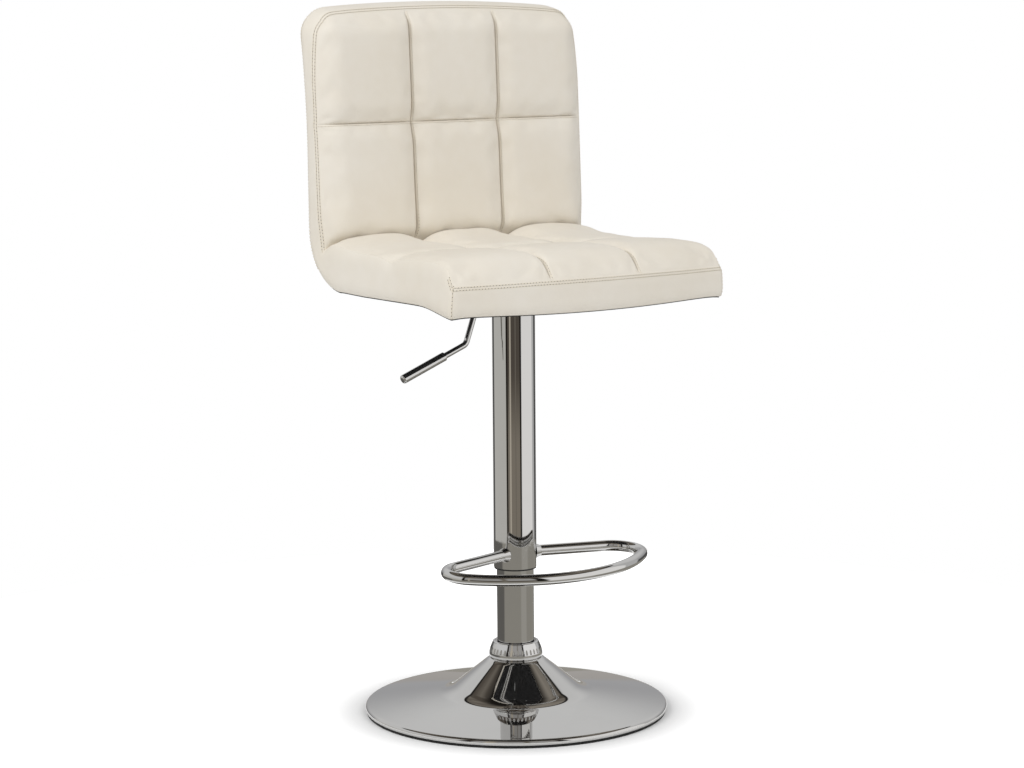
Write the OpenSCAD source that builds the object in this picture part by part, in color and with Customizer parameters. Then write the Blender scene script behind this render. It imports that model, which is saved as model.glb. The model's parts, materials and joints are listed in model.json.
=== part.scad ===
// Adjustable swivel stool: round trumpet base, gas lift column with a footrest,
// and a one-piece padded seat and back with a quilted panel.
//
// Frame: +Z up, the front of the seat faces -Y, the sitter's right hand is -X.
// The origin is on the floor, on the axis of the column. The lift is at its lowest.

/* [Base] */
// Outside diameter of the base
base_d = 410; // [340:5:460]
// Radius of the rolled rim of the base
rim_r = 4.5; // [3.5:0.5:6]
// Width of the flat hem turned in under the rim
hem_w = 4; // [3:0.5:8]
// Height at which the flat of the base starts behind the rim
disc_edge_z = 13; // [12:0.5:18]
// Slope of the flat of the base, in degrees
disc_slope = 7.7; // [4:0.1:9]
// Radius of the trumpet at its neck
neck_r = 35.5; // [34:0.5:44]
// Height of the trumpet's neck
neck_z = 74; // [66:1:90]
// Slope of the trumpet's cone, in degrees
cone_slope = 39; // [32:1:46]
// Radius of the sweep between the cone and the flat
sweep_r = 45; // [20:5:80]
// Sheet thickness of the spun shell
shell_t = 1.2; // [1:0.2:2]
// Thickness of the rubber floor ring
floor_ring_t = 2.5; // [2:0.5:4]
// Width of the rubber floor ring
floor_ring_w = 8; // [7:0.5:12]
// Thickness of the ballast plate
ballast_t = 3; // [2:0.5:4]

/* [Column] */
// Outside diameter of the lower column
column_d = 50; // [46:1:52]
// Wall of the lower column
column_wall = 2; // [1.5:0.5:2.5]
// Height of the top of the lower column
column_top_z = 440; // [420:5:460]
// Height of the foot of the lower column
column_foot_z = 20; // [18:1:24]
// Height at which the column's tapered foot ends
taper_top_z = 68; // [50:1:70]
// How far the tapered foot narrows on the radius
taper_in = 1.1; // [0.6:0.1:1.4]
// Length of the guide bush in the top of the column
guide_len = 100; // [70:5:110]

/* [Trim collar] */
// Height of the trim collar
collar_h = 22; // [18:1:28]
// Radius of the collar at its top
collar_top_r = 30.5; // [30:0.5:34]
// Number of flutes round the collar
flute_count = 36; // [24:2:40]
// Radius of a flute
flute_r = 1.5; // [1:0.1:1.8]
// Length of a flute
flute_len = 9; // [6:0.5:11]

/* [Gas lift] */
// Lift stroke of the seat
stroke = 200; // [150:5:200]
// Outside diameter of the pressure cylinder
cylinder_d = 28; // [26:0.5:28]
// Wall of the pressure cylinder
cylinder_wall = 2.5; // [2:0.5:3]
// Diameter of the piston rod
rod_d = 10; // [8:0.5:10]
// Length of the rod guide in the cylinder's mouth
rod_guide_len = 20; // [15:1:25]
// Height of the piston
piston_h = 18; // [12:1:20]
// Height of the rubber buffer under the cylinder
buffer_h = 25; // [15:1:30]
// Ball radius of the swivel bearing
ball_r = 2.4; // [2:0.1:2.6]
// Number of balls in the swivel bearing
ball_count = 8; // [6:1:9]
// Diameter of the release button
button_d = 8; // [6:0.5:9]
// How far the release button is pressed in
button_travel = 3.8; // [3:0.1:4]

/* [Cover tube and footrest] */
// Outside diameter of the cover tube
cover_d = 57.5; // [57:0.5:60]
// Wall of the cover tube
cover_wall = 1.5; // [1.2:0.1:2]
// Height of the lower edge of the cover tube
cover_foot_z = 198; // [190:1:205]
// Height of the footrest bar's centre line above the cover tube's lower edge
footrest_rise = 20; // [16:0.5:40]
// Diameter of the footrest bar
bar_d = 15; // [12:0.5:19]
// How far the two side bars are swept forward, in degrees
bar_sweep = 14; // [5:1:28]
// Bend radius of the two corners, at the centre line
bar_corner_r = 37; // [30:1:50]
// Radius of the front bow, at the centre line
bar_bow_r = 203; // [170:1:230]
// Reach of the front bow in front of the column, at the centre line
bar_front = 154; // [140:1:170]
// How far in front of the column axis the side bars would meet
bar_meet = 5; // [0:1:10]
// How far the ring tips down towards its front, in degrees
bar_tilt = 2.75; // [0:0.25:5]

/* [Seat plate and lever] */
// Side of the square mounting flange
flange_w = 170; // [150:5:200]
// Thickness of the seat plate's steel
plate_t = 3; // [2:0.5:4]
// Depth of the pan below the flange
pan_depth = 25; // [25:1:30]
// Outside length of the pan, along X
pan_x = 104; // [100:1:116]
// Outside width of the pan, along Y
pan_y = 90; // [70:1:100]
// Length of the taper hub under the pan
hub_len = 30; // [24:1:36]
// Outside diameter of the taper hub
hub_d = 38; // [36:1:42]
// Distance between the mounting bolts
bolt_pitch = 125; // [116:1:140]
// Thread diameter of the mounting bolts
bolt_d = 6; // [5:1:8]
// Diameter of the lever rod
lever_d = 8; // [6:0.5:9]
// Distance of the lever's pivot from the column axis
lever_pivot_x = 40; // [36:1:44]
// Distance of the lever's outer bend from the column axis
lever_bend_x = 77; // [74:1:90]
// Drop of the lever's outer bend below its pivot
lever_bend_drop = 61; // [50:1:75]
// Distance of the lever's tip from the column axis
lever_tip_x = 176; // [150:1:200]
// Drop of the lever's tip below its outer bend
lever_tip_drop = 38; // [20:1:60]
// Diameter of the lever's sleeve grip
grip_d = 12; // [11:0.5:16]
// Length of the lever's sleeve grip
grip_len = 68; // [50:1:80]

/* [Seat and back] */
// Height of the seat's underside with the lift at its lowest
seat_z = 576; // [560:2:600]
// Height of the back's top above the seat's underside
back_h = 376; // [300:2:420]
// Width of the seat and back
seat_w = 428; // [360:2:480]
// Distance of the front edge's corners in front of the column
seat_front = 174; // [150:1:185]
// How far the front edge bows out in its middle
front_bow = 13; // [6:1:18]
// Plan radius of the front corners
front_corner_r = 16; // [8:1:24]
// How far the front lip hangs below the underside
front_lip = 9; // [0:1:14]
// Height of the front edge, from underside to seam
front_rise = 32; // [30:1:50]
// Height of the crease above the seat's underside
crease_rise = 59; // [50:1:70]
// Distance of the back's outer face behind the column
back_reach = 168; // [150:1:172]
// Radius of the heel below the back
heel_r = 78; // [60:1:90]
// Radius of the crease between seat and back
crease_r = 20; // [10:1:30]
// Thickness of the back at its foot
back_t = 33; // [28:1:40]
// Thickness of the back at its top
back_top_t = 40; // [28:1:44]
// Radius of the back's backward lean
lean_r = 970; // [900:10:2000]
// Height above the seat's underside at which the lean starts
lean_rise = 174; // [90:2:200]
// How far the top edge of the back is crowned
top_crown = 9; // [2:1:14]
// Radius of the back's top corners
top_corner_r = 38; // [20:1:60]
// Thickness of the upholstery cover
cover_t = 2; // [1.5:0.5:3]
// Thickness of the bent plywood shell
ply_t = 12; // [9:1:12]

/* [Hidden] */
$fn = 96;

chrome_tint = [0.78, 0.78, 0.80];
steel_tint = [0.58, 0.59, 0.61];
black_tint = [0.10, 0.10, 0.11];
cream_tint = [0.90, 0.87, 0.80];
foam_tint = [0.93, 0.86, 0.55];
ply_tint = [0.78, 0.62, 0.42];

// Gap between pieces that slide or turn on each other without bearing load
gap = 0.3;
// Radial clearance of a running fit
run_fit = 0.05;
// A cut runs past the surface by this much
cut = 1;
// A straight bar runs on into its bend by this much, and the bend is fuller by this much,
// so that they join as one solid
bend_overlap = 0.6;
bend_swell = 0.03;

column_r = column_d / 2;
column_bore_r = column_r - column_wall;
foot_r = column_r - taper_in;
foot_bore_r = foot_r - column_wall;
end_plate_t = 4;
end_plate_top_z = column_foot_z + end_plate_t;

cover_r = cover_d / 2;
cover_bore_r = cover_r - cover_wall;
cylinder_r = cylinder_d / 2;
cylinder_bore_r = cylinder_r - cylinder_wall;
rod_r = rod_d / 2;

// Stack of the swivel bearing on the column's end plate
washer_t = 2;
washer_r = 13;
ball_circle_r = 9.5;
lower_washer_z = end_plate_top_z;
ball_z = lower_washer_z + washer_t + run_fit + ball_r;
upper_washer_z = ball_z + ball_r + run_fit;
buffer_z = upper_washer_z + washer_t;
cylinder_foot_z = buffer_z + buffer_h + gap;
clip_t = 1.5;
clip_z = column_foot_z - gap - clip_t;
rod_foot_z = clip_z - 2;
rod_foot_chamfer = 1;

// Seat plate levels, downward from the padded seat
flange_z = seat_z - plate_t;
pan_z = flange_z - pan_depth;
pan_floor_z = pan_z + plate_t;
hub_z = pan_z - hub_len;
// The lever rod turns this far below the flange, and its boss stands out round the rod by this much
rod_clearance = 2.7;
boss_wall = 2;
lever_z = flange_z - rod_clearance - lever_d / 2;
button_top_z = lever_z - lever_d / 2 - gap;
// What is left of the button above the cylinder when it is pressed right in
button_stub = 2.2;
cylinder_top_z = button_top_z - button_travel - button_stub;

piston_z = cylinder_foot_z + rod_guide_len + stroke + gap;

//
// Shared shapes
//

// A ring between two radii
module ring(r_out, r_in, h) {
    difference() {
        cylinder(r = r_out, h = h);
        translate([0, 0, -cut]) cylinder(r = r_in, h = h + 2 * cut);
    }
}

// The same children at the four mounting bolts
module at_bolts() {
    for (sx = [-1, 1], sy = [-1, 1])
        translate([sx * bolt_pitch / 2, sy * bolt_pitch / 2, 0]) children();
}

// Points on an arc, both ends included
function arc_points(centre, r, a0, a1, n) =
    [for (i = [0 : n]) let (a = a0 + (a1 - a0) * i / n) centre + r * [cos(a), sin(a)]];

function unit(v) = v / norm(v);
function lerp(a, b, t) = a + (b - a) * t;
function smooth(t) = t <= 0 ? 0 : t >= 1 ? 1 : t * t * (3 - 2 * t);
function reversed(list) = [for (i = [len(list) - 1 : -1 : 0]) list[i]];

// A straight bar from one point to the next, in space
module bar(from, to, r) {
    v = to - from;
    translate(from)
        rotate([0, acos(v[2] / norm(v)), atan2(v[1], v[0])])
            cylinder(r = r, h = norm(v));
}

// A round rod in the XZ plane through points [x, z], with one bend radius
module bent_rod(points, r, bend_r) {
    last = len(points) - 1;
    function heading(i) = unit(points[i + 1] - points[i]);
    function turn(i) = atan2(cross(heading(i - 1), heading(i)), heading(i - 1) * heading(i));
    function setback(i) = i == 0 || i == last ? 0 : bend_r * tan(abs(turn(i)) / 2);
    function run_on(i) = i == 0 || i == last ? 0 : bend_overlap;
    for (i = [0 : last - 1]) {
        from = points[i] + (setback(i) - run_on(i)) * heading(i);
        to = points[i + 1] - (setback(i + 1) - run_on(i + 1)) * heading(i);
        bar([from[0], 0, from[1]], [to[0], 0, to[1]], r);
    }
    for (i = [1 : last - 1]) {
        side = sign(turn(i));
        from = points[i] - setback(i) * heading(i - 1);
        normal = side * [-heading(i - 1)[1], heading(i - 1)[0]];
        centre = from + bend_r * normal;
        start = atan2(-normal[1], -normal[0]);
        translate([centre[0], 0, centre[1]])
            rotate([90, 0, 0])
                rotate([0, 0, side > 0 ? start : start + turn(i)])
                    rotate_extrude(angle = abs(turn(i)))
                        translate([bend_r, 0]) circle(r = r + bend_swell);
    }
}

//
// Base
//

base_r = base_d / 2;
rim_centre = [base_r - rim_r, floor_ring_t + rim_r];
hem_r = rim_centre[0] - hem_w;

// The flat and the cone meet here, before the sweep rounds their corner
disc_start = [rim_centre[0] - rim_r / 2, disc_edge_z];
cone_end = [neck_r, neck_z];
meet_x = (cone_end[1] - disc_start[1] + cone_end[0] * tan(cone_slope) - disc_start[0] * tan(disc_slope))
    / (tan(cone_slope) - tan(disc_slope));
meet = [meet_x, disc_start[1] + (disc_start[0] - meet_x) * tan(disc_slope)];
sweep_setback = sweep_r * tan((cone_slope - disc_slope) / 2);
sweep_from = meet + sweep_setback * [cos(disc_slope), -sin(disc_slope)];
sweep_centre = sweep_from + sweep_r * [sin(disc_slope), cos(disc_slope)];

// The shell's profile from the hem, round the rim, up to the neck, moved in by depth
function shell_line(depth) = concat(
    [[hem_r, floor_ring_t + depth]],
    arc_points(rim_centre, rim_r - depth, -90, 90 - disc_slope, 12),
    arc_points(sweep_centre, sweep_r + depth, 270 - disc_slope, 270 - cone_slope, 14),
    [cone_end - depth * [sin(cone_slope), cos(cone_slope)]]
);

module base_shell() {
    color(chrome_tint) {
        rotate_extrude($fn = 180)
            polygon(concat(shell_line(0), reversed(shell_line(shell_t))));
        // Lip turned in to the column, which carries the collar
        translate([0, 0, neck_z - shell_t])
            ring(neck_r, column_r, shell_t);
    }
}

module floor_ring() {
    color(black_tint)
        difference() {
            cylinder(r = rim_centre[0] + 2, h = floor_ring_t);
            translate([0, 0, -cut])
                cylinder(r = rim_centre[0] + 2 - floor_ring_w, h = floor_ring_t + 2 * cut);
        }
}

ballast_z = floor_ring_t + shell_t;
ballast_r = rim_centre[0] - 1.5;
ballast_hole_r = 20;

module ballast_plate() {
    color(steel_tint)
        translate([0, 0, ballast_z])
            ring(ballast_r, ballast_hole_r, ballast_t);
}

socket_z = ballast_z + ballast_t;
socket_r = column_r + 4;

// The column's tapered foot as a solid, for the socket's bore
module foot_taper() {
    rotate_extrude()
        polygon([[0, column_foot_z], [foot_r, column_foot_z], [column_r, taper_top_z], [0, taper_top_z]]);
}

module base_socket() {
    color(steel_tint)
        difference() {
            translate([0, 0, socket_z])
                cylinder(r = socket_r, h = neck_z - shell_t - socket_z);
            foot_taper();
            // Clearance bores below and above the taper
            translate([0, 0, socket_z - cut])
                cylinder(r = foot_bore_r, h = column_foot_z - socket_z + 2 * cut);
            translate([0, 0, taper_top_z - cut / 10])
                cylinder(r = column_r, h = neck_z - taper_top_z);
        }
}

collar_z = neck_z;
collar_gap_r = column_r + 2.5;
collar_foot_r = neck_r + 0.5;
collar_foot_h = 4;
flute_z = collar_z + collar_foot_h + 3.5;

// Radius of the collar's tapering face at a height
function collar_face_r(z) = lerp(collar_foot_r, collar_top_r, smooth((z - collar_z - collar_foot_h)
    / (collar_h - collar_foot_h) * 0.5) * 2);

module trim_collar() {
    face_steps = 6;
    face = [for (i = [0 : face_steps])
        let (z = lerp(collar_z + collar_foot_h, collar_z + collar_h - 1.5, i / face_steps))
        [collar_face_r(z), z]];
    top_r = face[face_steps][0];
    color(chrome_tint)
        difference() {
            rotate_extrude()
                polygon(concat(
                    [[column_r, collar_z]],
                    arc_points([collar_foot_r - 2, collar_z + 2], 2, -90, 0, 5),
                    face,
                    arc_points([top_r - 1.5, collar_z + collar_h - 1.5], 1.5, 15, 90, 4),
                    [[collar_gap_r, collar_z + collar_h], [collar_gap_r, collar_z + collar_h - 5],
                     [column_r, collar_z + collar_h - 5]]
                ));
            for (i = [0 : flute_count - 1])
                rotate([0, 0, i * 360 / flute_count])
                    translate([collar_face_r(flute_z + flute_len / 2) + flute_r * 0.45, 0, flute_z])
                        cylinder(r = flute_r, h = flute_len, $fn = 24);
        }
}

//
// Column and swivel bearing
//

module column_tube() {
    color(chrome_tint)
        rotate_extrude()
            polygon([
                [foot_bore_r, column_foot_z], [foot_r, column_foot_z], [column_r, taper_top_z],
                [column_r, column_top_z], [column_bore_r, column_top_z],
                [column_bore_r, taper_top_z], [foot_bore_r, end_plate_top_z]
            ]);
}

module column_end_plate() {
    color(steel_tint)
        translate([0, 0, column_foot_z])
            ring(foot_bore_r, rod_r + gap, end_plate_t);
}

module column_guide_bush() {
    color(black_tint)
        translate([0, 0, column_top_z - guide_len])
            ring(column_bore_r, cylinder_r + run_fit, guide_len);
}

module bearing_lower_washer() {
    color(steel_tint)
        translate([0, 0, lower_washer_z])
            ring(washer_r, rod_r + gap, washer_t);
}

module bearing_balls() {
    color(chrome_tint)
        for (i = [0 : ball_count - 1])
            rotate([0, 0, i * 360 / ball_count])
                translate([ball_circle_r, 0, ball_z]) sphere(r = ball_r, $fn = 32);
}

module bearing_cage() {
    cage_t = 1.8;
    color(black_tint)
        difference() {
            translate([0, 0, ball_z - cage_t / 2])
                ring(ball_circle_r + 3, rod_r + gap, cage_t);
            for (i = [0 : ball_count - 1])
                rotate([0, 0, i * 360 / ball_count])
                    translate([ball_circle_r, 0, ball_z - cage_t])
                        cylinder(r = ball_r + run_fit, h = 2 * cage_t, $fn = 32);
        }
}

module bearing_upper_washer() {
    color(steel_tint)
        translate([0, 0, upper_washer_z])
            ring(washer_r, rod_r, washer_t);
}

module rubber_buffer() {
    color(black_tint)
        translate([0, 0, buffer_z])
            ring(washer_r + 2, rod_r, buffer_h);
}

module retaining_clip() {
    color(steel_tint)
        translate([0, 0, clip_z])
            difference() {
                ring(rod_r + 3.5, rod_r, clip_t);
                // Mouth through which the clip is pushed on to the rod
                translate([0, -rod_r * 0.7, -cut])
                    cube([rod_r + 5, rod_r * 1.4, clip_t + 2 * cut]);
            }
}

module piston_rod() {
    color(chrome_tint)
        rotate_extrude()
            polygon([
                [0, rod_foot_z], [rod_r - rod_foot_chamfer, rod_foot_z],
                [rod_r, rod_foot_z + rod_foot_chamfer],
                [rod_r, piston_z], [0, piston_z]
            ]);
}

module piston() {
    piston_r = cylinder_bore_r - gap;
    groove = 1.5;
    color(steel_tint)
        rotate_extrude()
            polygon([
                [0, piston_z], [piston_r, piston_z],
                [piston_r, piston_z + piston_h * 0.4], [piston_r - groove, piston_z + piston_h * 0.4],
                [piston_r - groove, piston_z + piston_h * 0.6], [piston_r, piston_z + piston_h * 0.6],
                [piston_r, piston_z + piston_h], [0, piston_z + piston_h]
            ]);
}

//
// Gas cylinder
//

hub_taper_in = 0.7;
cylinder_neck_r = cylinder_r - hub_taper_in;
button_bore_z = cylinder_top_z - 22;
chamber_top_z = button_bore_z - 8;

module gas_cylinder() {
    color(steel_tint)
        difference() {
            rotate_extrude()
                polygon([
                    [cylinder_bore_r, cylinder_foot_z], [cylinder_r, cylinder_foot_z],
                    [cylinder_r, hub_z], [cylinder_neck_r, pan_z],
                    [cylinder_neck_r, cylinder_top_z - 1], [cylinder_neck_r - 1, cylinder_top_z],
                    [0, cylinder_top_z], [0, chamber_top_z], [cylinder_bore_r, chamber_top_z]
                ]);
            translate([0, 0, button_bore_z])
                cylinder(d = button_d + 2 * run_fit, h = cylinder_top_z - button_bore_z + cut);
        }
}

module rod_guide() {
    color(black_tint)
        translate([0, 0, cylinder_foot_z])
            ring(cylinder_bore_r, rod_r + run_fit, rod_guide_len);
}

module release_button() {
    button_foot_z = button_bore_z + button_travel + 1;
    color(steel_tint)
        translate([0, 0, button_foot_z])
            cylinder(d = button_d, h = button_top_z - button_foot_z);
}

//
// Cover tube and footrest
//

upper_bush_len = 25;
cover_top_z = pan_z - 3;
lower_bush_len = 18;
lower_bush_lip = 2;
footrest_z = cover_foot_z + footrest_rise;

module cover_tube() {
    color(chrome_tint)
        translate([0, 0, cover_foot_z])
            ring(cover_r, cover_bore_r, cover_top_z - cover_foot_z);
}

module tube_upper_bush() {
    color(black_tint)
        translate([0, 0, cover_top_z - upper_bush_len])
            ring(cover_bore_r, hub_d / 2, upper_bush_len);
}

module tube_lower_bush() {
    color(black_tint) {
        translate([0, 0, cover_foot_z])
            ring(cover_bore_r, column_r + gap, lower_bush_len);
        translate([0, 0, cover_foot_z - lower_bush_lip])
            ring(cover_r - 0.4, column_r + gap, lower_bush_lip);
    }
}

// Plan of the ring as [x, forward]: a side bar, a corner and the front bow meet at tangents
bar_dir = [cos(bar_sweep), sin(bar_sweep)];
bar_normal = [-sin(bar_sweep), cos(bar_sweep)];
bow_centre = [0, bar_front - bar_bow_r];
corner_foot = [0, bar_meet] + bar_corner_r * bar_normal - bow_centre;
corner_along = -(corner_foot * bar_dir)
    + sqrt(pow(corner_foot * bar_dir, 2) - corner_foot * corner_foot + pow(bar_bow_r - bar_corner_r, 2));
corner_centre = [0, bar_meet] + corner_along * bar_dir + bar_corner_r * bar_normal;
bow_angle = atan2(corner_centre[1] - bow_centre[1], corner_centre[0]);
bow_run_on = bend_overlap / bar_bow_r * 180 / PI;

// A stretch of round bar bent to a radius, between two plan angles measured from +X to forward
module bent_bar(centre, bend_r, from, to, bar_r) {
    translate([centre[0], -centre[1], 0])
        rotate([0, 0, -to])
            rotate_extrude(angle = to - from)
                translate([bend_r, 0]) circle(r = bar_r, $fn = 48);
}

module footrest_ring() {
    // The weld bead starts inside the tube's face and runs out along the bar
    weld_root = 4;
    weld_len = 8;
    weld_r = 3;
    color(chrome_tint)
        difference() {
            translate([0, 0, footrest_z]) rotate([bar_tilt, 0, 0]) {
                for (side = [0, 1])
                    mirror([side, 0, 0]) {
                        translate([0, -bar_meet, 0]) rotate([0, 90, -bar_sweep]) {
                            translate([0, 0, cover_r / 2])
                                cylinder(d = bar_d, h = corner_along + bend_overlap - cover_r / 2, $fn = 48);
                            translate([0, 0, cover_r - weld_root])
                                cylinder(r1 = bar_d / 2 + weld_r, r2 = bar_d / 2, h = weld_len, $fn = 48);
                        }
                        bent_bar(corner_centre, bar_corner_r, bar_sweep - 90, bow_angle, bar_d / 2 + bend_swell);
                    }
                bent_bar(bow_centre, bar_bow_r, bow_angle - bow_run_on, 180 - bow_angle + bow_run_on, bar_d / 2);
            }
            cylinder(r = cover_r, h = footrest_z + 2 * bar_d);
        }
}

//
// Seat plate, hub and lever
//

ear_t = 3;
ear_gap = 14.6;
ear_w = 14;
pin_r = 2.5;
boss_r = lever_d / 2 + boss_wall;
slot_w = lever_d + 3;

module seat_plate() {
    wall_h = pan_depth - plate_t;
    color(steel_tint) {
        // Flange, with the pan's mouth and the bolt holes
        difference() {
            translate([-flange_w / 2, -flange_w / 2, flange_z]) cube([flange_w, flange_w, plate_t]);
            translate([-pan_x / 2 + plate_t, -pan_y / 2 + plate_t, flange_z - cut])
                cube([pan_x - 2 * plate_t, pan_y - 2 * plate_t, plate_t + 2 * cut]);
            at_bolts()
                translate([0, 0, flange_z - cut]) cylinder(d = bolt_d + 2 * gap, h = plate_t + 2 * cut);
        }
        // Pan: floor and four walls, with the lever's slot
        difference() {
            translate([-pan_x / 2, -pan_y / 2, pan_z]) cube([pan_x, pan_y, pan_depth]);
            translate([-pan_x / 2 + plate_t, -pan_y / 2 + plate_t, pan_floor_z])
                cube([pan_x - 2 * plate_t, pan_y - 2 * plate_t, wall_h + cut]);
            translate([0, 0, pan_z - cut])
                cylinder(r = cylinder_neck_r + gap, h = plate_t + 2 * cut);
            translate([-pan_x / 2 - cut, -slot_w / 2, lever_z - lever_d])
                cube([plate_t + 2 * cut, slot_w, flange_z - lever_z + lever_d]);
        }
        // Two ears that carry the lever's pin
        for (side = [-1, 1])
            difference() {
                translate([-lever_pivot_x - ear_w / 2, side * (ear_gap + ear_t) / 2 - ear_t / 2, pan_floor_z])
                    cube([ear_w, ear_t, flange_z - 1 - pan_floor_z]);
                translate([-lever_pivot_x, 0, lever_z])
                    rotate([90, 0, 0]) cylinder(r = pin_r, h = 2 * ear_gap, center = true);
            }
    }
}

module taper_hub() {
    color(steel_tint)
        difference() {
            translate([0, 0, hub_z]) cylinder(d = hub_d, h = hub_len);
            rotate_extrude()
                polygon([[0, hub_z], [cylinder_r, hub_z], [cylinder_neck_r, pan_z], [0, pan_z]]);
        }
}

pin_clip_t = 1;
pin_len = ear_gap + 2 * ear_t + 2 * pin_clip_t + 2;

module lever_pivot_pin() {
    color(steel_tint)
        translate([-lever_pivot_x, 0, lever_z])
            rotate([90, 0, 0]) cylinder(r = pin_r, h = pin_len, center = true);
}

module pin_clips() {
    color(steel_tint)
        for (side = [-1, 1])
            translate([-lever_pivot_x, side * (ear_gap / 2 + ear_t + pin_clip_t / 2), lever_z])
                rotate([90, 0, 0])
                    translate([0, 0, -pin_clip_t / 2]) ring(pin_r + 2, pin_r, pin_clip_t);
}

lever_elbow_x = -pan_x / 2 - 3;
lever_points = [
    [5, lever_z], [lever_elbow_x, lever_z],
    [-lever_bend_x, lever_z - lever_bend_drop],
    [-lever_tip_x + 2, lever_z - lever_bend_drop - lever_tip_drop]
];
lever_bend_r = 10;

module lever_rod() {
    color(chrome_tint)
        difference() {
            union() {
                bent_rod(lever_points, lever_d / 2, lever_bend_r);
                translate([-lever_pivot_x, 0, lever_z])
                    rotate([90, 0, 0]) cylinder(r = boss_r, h = ear_gap - 2 * gap, center = true);
            }
            translate([-lever_pivot_x, 0, lever_z])
                rotate([90, 0, 0]) cylinder(r = pin_r + run_fit, h = 2 * ear_gap, center = true);
        }
}

module lever_grip() {
    tip = lever_points[3];
    way = unit(tip - lever_points[2]);
    tilt = atan2(-way[0], way[1]);
    dome_r = 3;
    end = 2;
    color(chrome_tint)
        translate([tip[0], 0, tip[1]])
            rotate([0, -tilt, 0])
                rotate_extrude()
                    polygon(concat(
                        [[0, 0], [0, end + dome_r / 2]],
                        arc_points([grip_d / 2 - dome_r, end + dome_r / 2 - dome_r], dome_r, 90, 0, 6),
                        [[grip_d / 2, 1 - grip_len], [grip_d / 2 - 1, -grip_len],
                         [lever_d / 2, -grip_len], [lever_d / 2, 0]]
                    ));
}

//
// Fasteners between the seat plate and the plywood
//

bolt_washer_t = 1.2;
bolt_head_h = 4;
tee_barrel_r = bolt_d / 2 + 1.2;
tee_flange_r = bolt_d / 2 + 6;
tee_flange_t = 1.5;
ply_foot_z = seat_z + cover_t;
ply_top_z = ply_foot_z + ply_t;

module seat_bolts() {
    color(steel_tint)
        at_bolts() {
            translate([0, 0, flange_z - bolt_washer_t - bolt_head_h])
                difference() {
                    cylinder(d = bolt_d * 1.8, h = bolt_head_h);
                    translate([0, 0, -cut])
                        cylinder(d = bolt_d * 0.8, h = bolt_head_h / 2 + cut, $fn = 6);
                }
            translate([0, 0, flange_z - bolt_washer_t])
                cylinder(d = bolt_d, h = ply_top_z - 1 - flange_z + bolt_washer_t);
        }
}

module bolt_washers() {
    color(steel_tint)
        at_bolts()
            translate([0, 0, flange_z - bolt_washer_t])
                ring(bolt_d + 0.5, bolt_d / 2, bolt_washer_t);
}

module tee_nuts() {
    color(steel_tint)
        at_bolts() {
            translate([0, 0, ply_foot_z + 1])
                ring(tee_barrel_r, bolt_d / 2, ply_t - 1);
            translate([0, 0, ply_top_z])
                ring(tee_flange_r, bolt_d / 2, tee_flange_t);
        }
}

//
// Seat and back: one L-shaped section, cut into layers
//

heel_centre = [heel_r - back_reach, seat_z + heel_r];
crease_centre = [crease_r - back_reach + back_t, seat_z + crease_rise + crease_r];
lean_z = seat_z + lean_rise;
top_z = seat_z + back_h;
front_f = seat_front + front_bow;
lip_start = seat_front - 80;

// Height of the seat's top, from the crease at 0 to the front edge at 1, where it falls away
function seat_top_z(t) = seat_z + lerp(crease_rise, front_rise, pow(t, 3));
function under_z(f) = seat_z - front_lip * smooth((f - lip_start) / (seat_front - lip_start));
function back_f(z) = -back_reach - pow(max(0, z - lean_z), 2) / (2 * lean_r);
function back_inner_f(z) = lerp(back_t - back_reach, back_f(top_z) + back_top_t,
    (z - crease_centre[1]) / (top_z - crease_centre[1]));

// Stations along the section as [forward, z], outer face and inner face in step
seat_steps = 12;
heel_steps = 10;
back_steps = 14;
outer_line = concat(
    [for (i = [0 : seat_steps - 1])
        let (f = lerp(front_f, heel_centre[0], i / seat_steps)) [f, under_z(f)]],
    arc_points(heel_centre, heel_r, 270, 180, heel_steps),
    [for (i = [1 : back_steps])
        let (z = lerp(heel_centre[1], top_z, i / back_steps)) [back_f(z), z]]
);
inner_line = concat(
    [for (i = [0 : seat_steps - 1])
        let (t = 1 - i / seat_steps) [lerp(crease_centre[0], front_f, t), seat_top_z(t)]],
    arc_points(crease_centre, crease_r, 270, 180, heel_steps),
    [for (i = [1 : back_steps])
        let (z = lerp(crease_centre[1], top_z, i / back_steps)) [back_inner_f(z), z]]
);
last_station = len(outer_line) - 1;
heel_station = seat_steps;
crease_station = seat_steps + heel_steps / 2;

// A point at a depth from the outer face, or from the inner face
function from_outer(i, depth) = outer_line[i] + depth * unit(inner_line[i] - outer_line[i]);
function from_inner(i, depth) = inner_line[i] + depth * unit(outer_line[i] - inner_line[i]);
function outer_run(i0, i1, depth) = [for (i = [i0 : i1]) from_outer(i, depth)];
function inner_run(i0, i1, depth) = [for (i = [i0 : i1]) from_inner(i, depth)];

// The section as a slab across the whole width: points are [forward, z]
module across(points) {
    rotate([90, 0, 90])
        linear_extrude(height = seat_w + 20, center = true)
            polygon([for (p = points) [-p[0], p[1]]]);
}

// Outline with straight sides and a crowned end with round corners, moved in by an inset
function crowned(half_w, crown, corner_r, end, inset) =
    let (
        kx = half_w - corner_r,
        crown_r = (kx * kx + crown * crown) / (2 * crown),
        cy = end - crown_r,
        ky = cy + sqrt(pow(crown_r - corner_r, 2) - kx * kx),
        a = atan2(ky - cy, kx)
    )
    concat(
        arc_points([kx, ky], corner_r - inset, 0, a, 8),
        arc_points([0, cy], crown_r - inset, a + 1, 179 - a, 14),
        arc_points([-kx, ky], corner_r - inset, 180 - a, 180, 8)
    );

module plan_outline(inset) {
    edge = crowned(seat_w / 2, front_bow, front_corner_r, front_f, inset);
    translate([0, 0, seat_z - 50])
        linear_extrude(height = back_h + 100)
            polygon(concat([for (p = edge) [p[0], -p[1]]],
                [[-seat_w / 2 + inset, 300], [seat_w / 2 - inset, 300]]));
}

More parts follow.
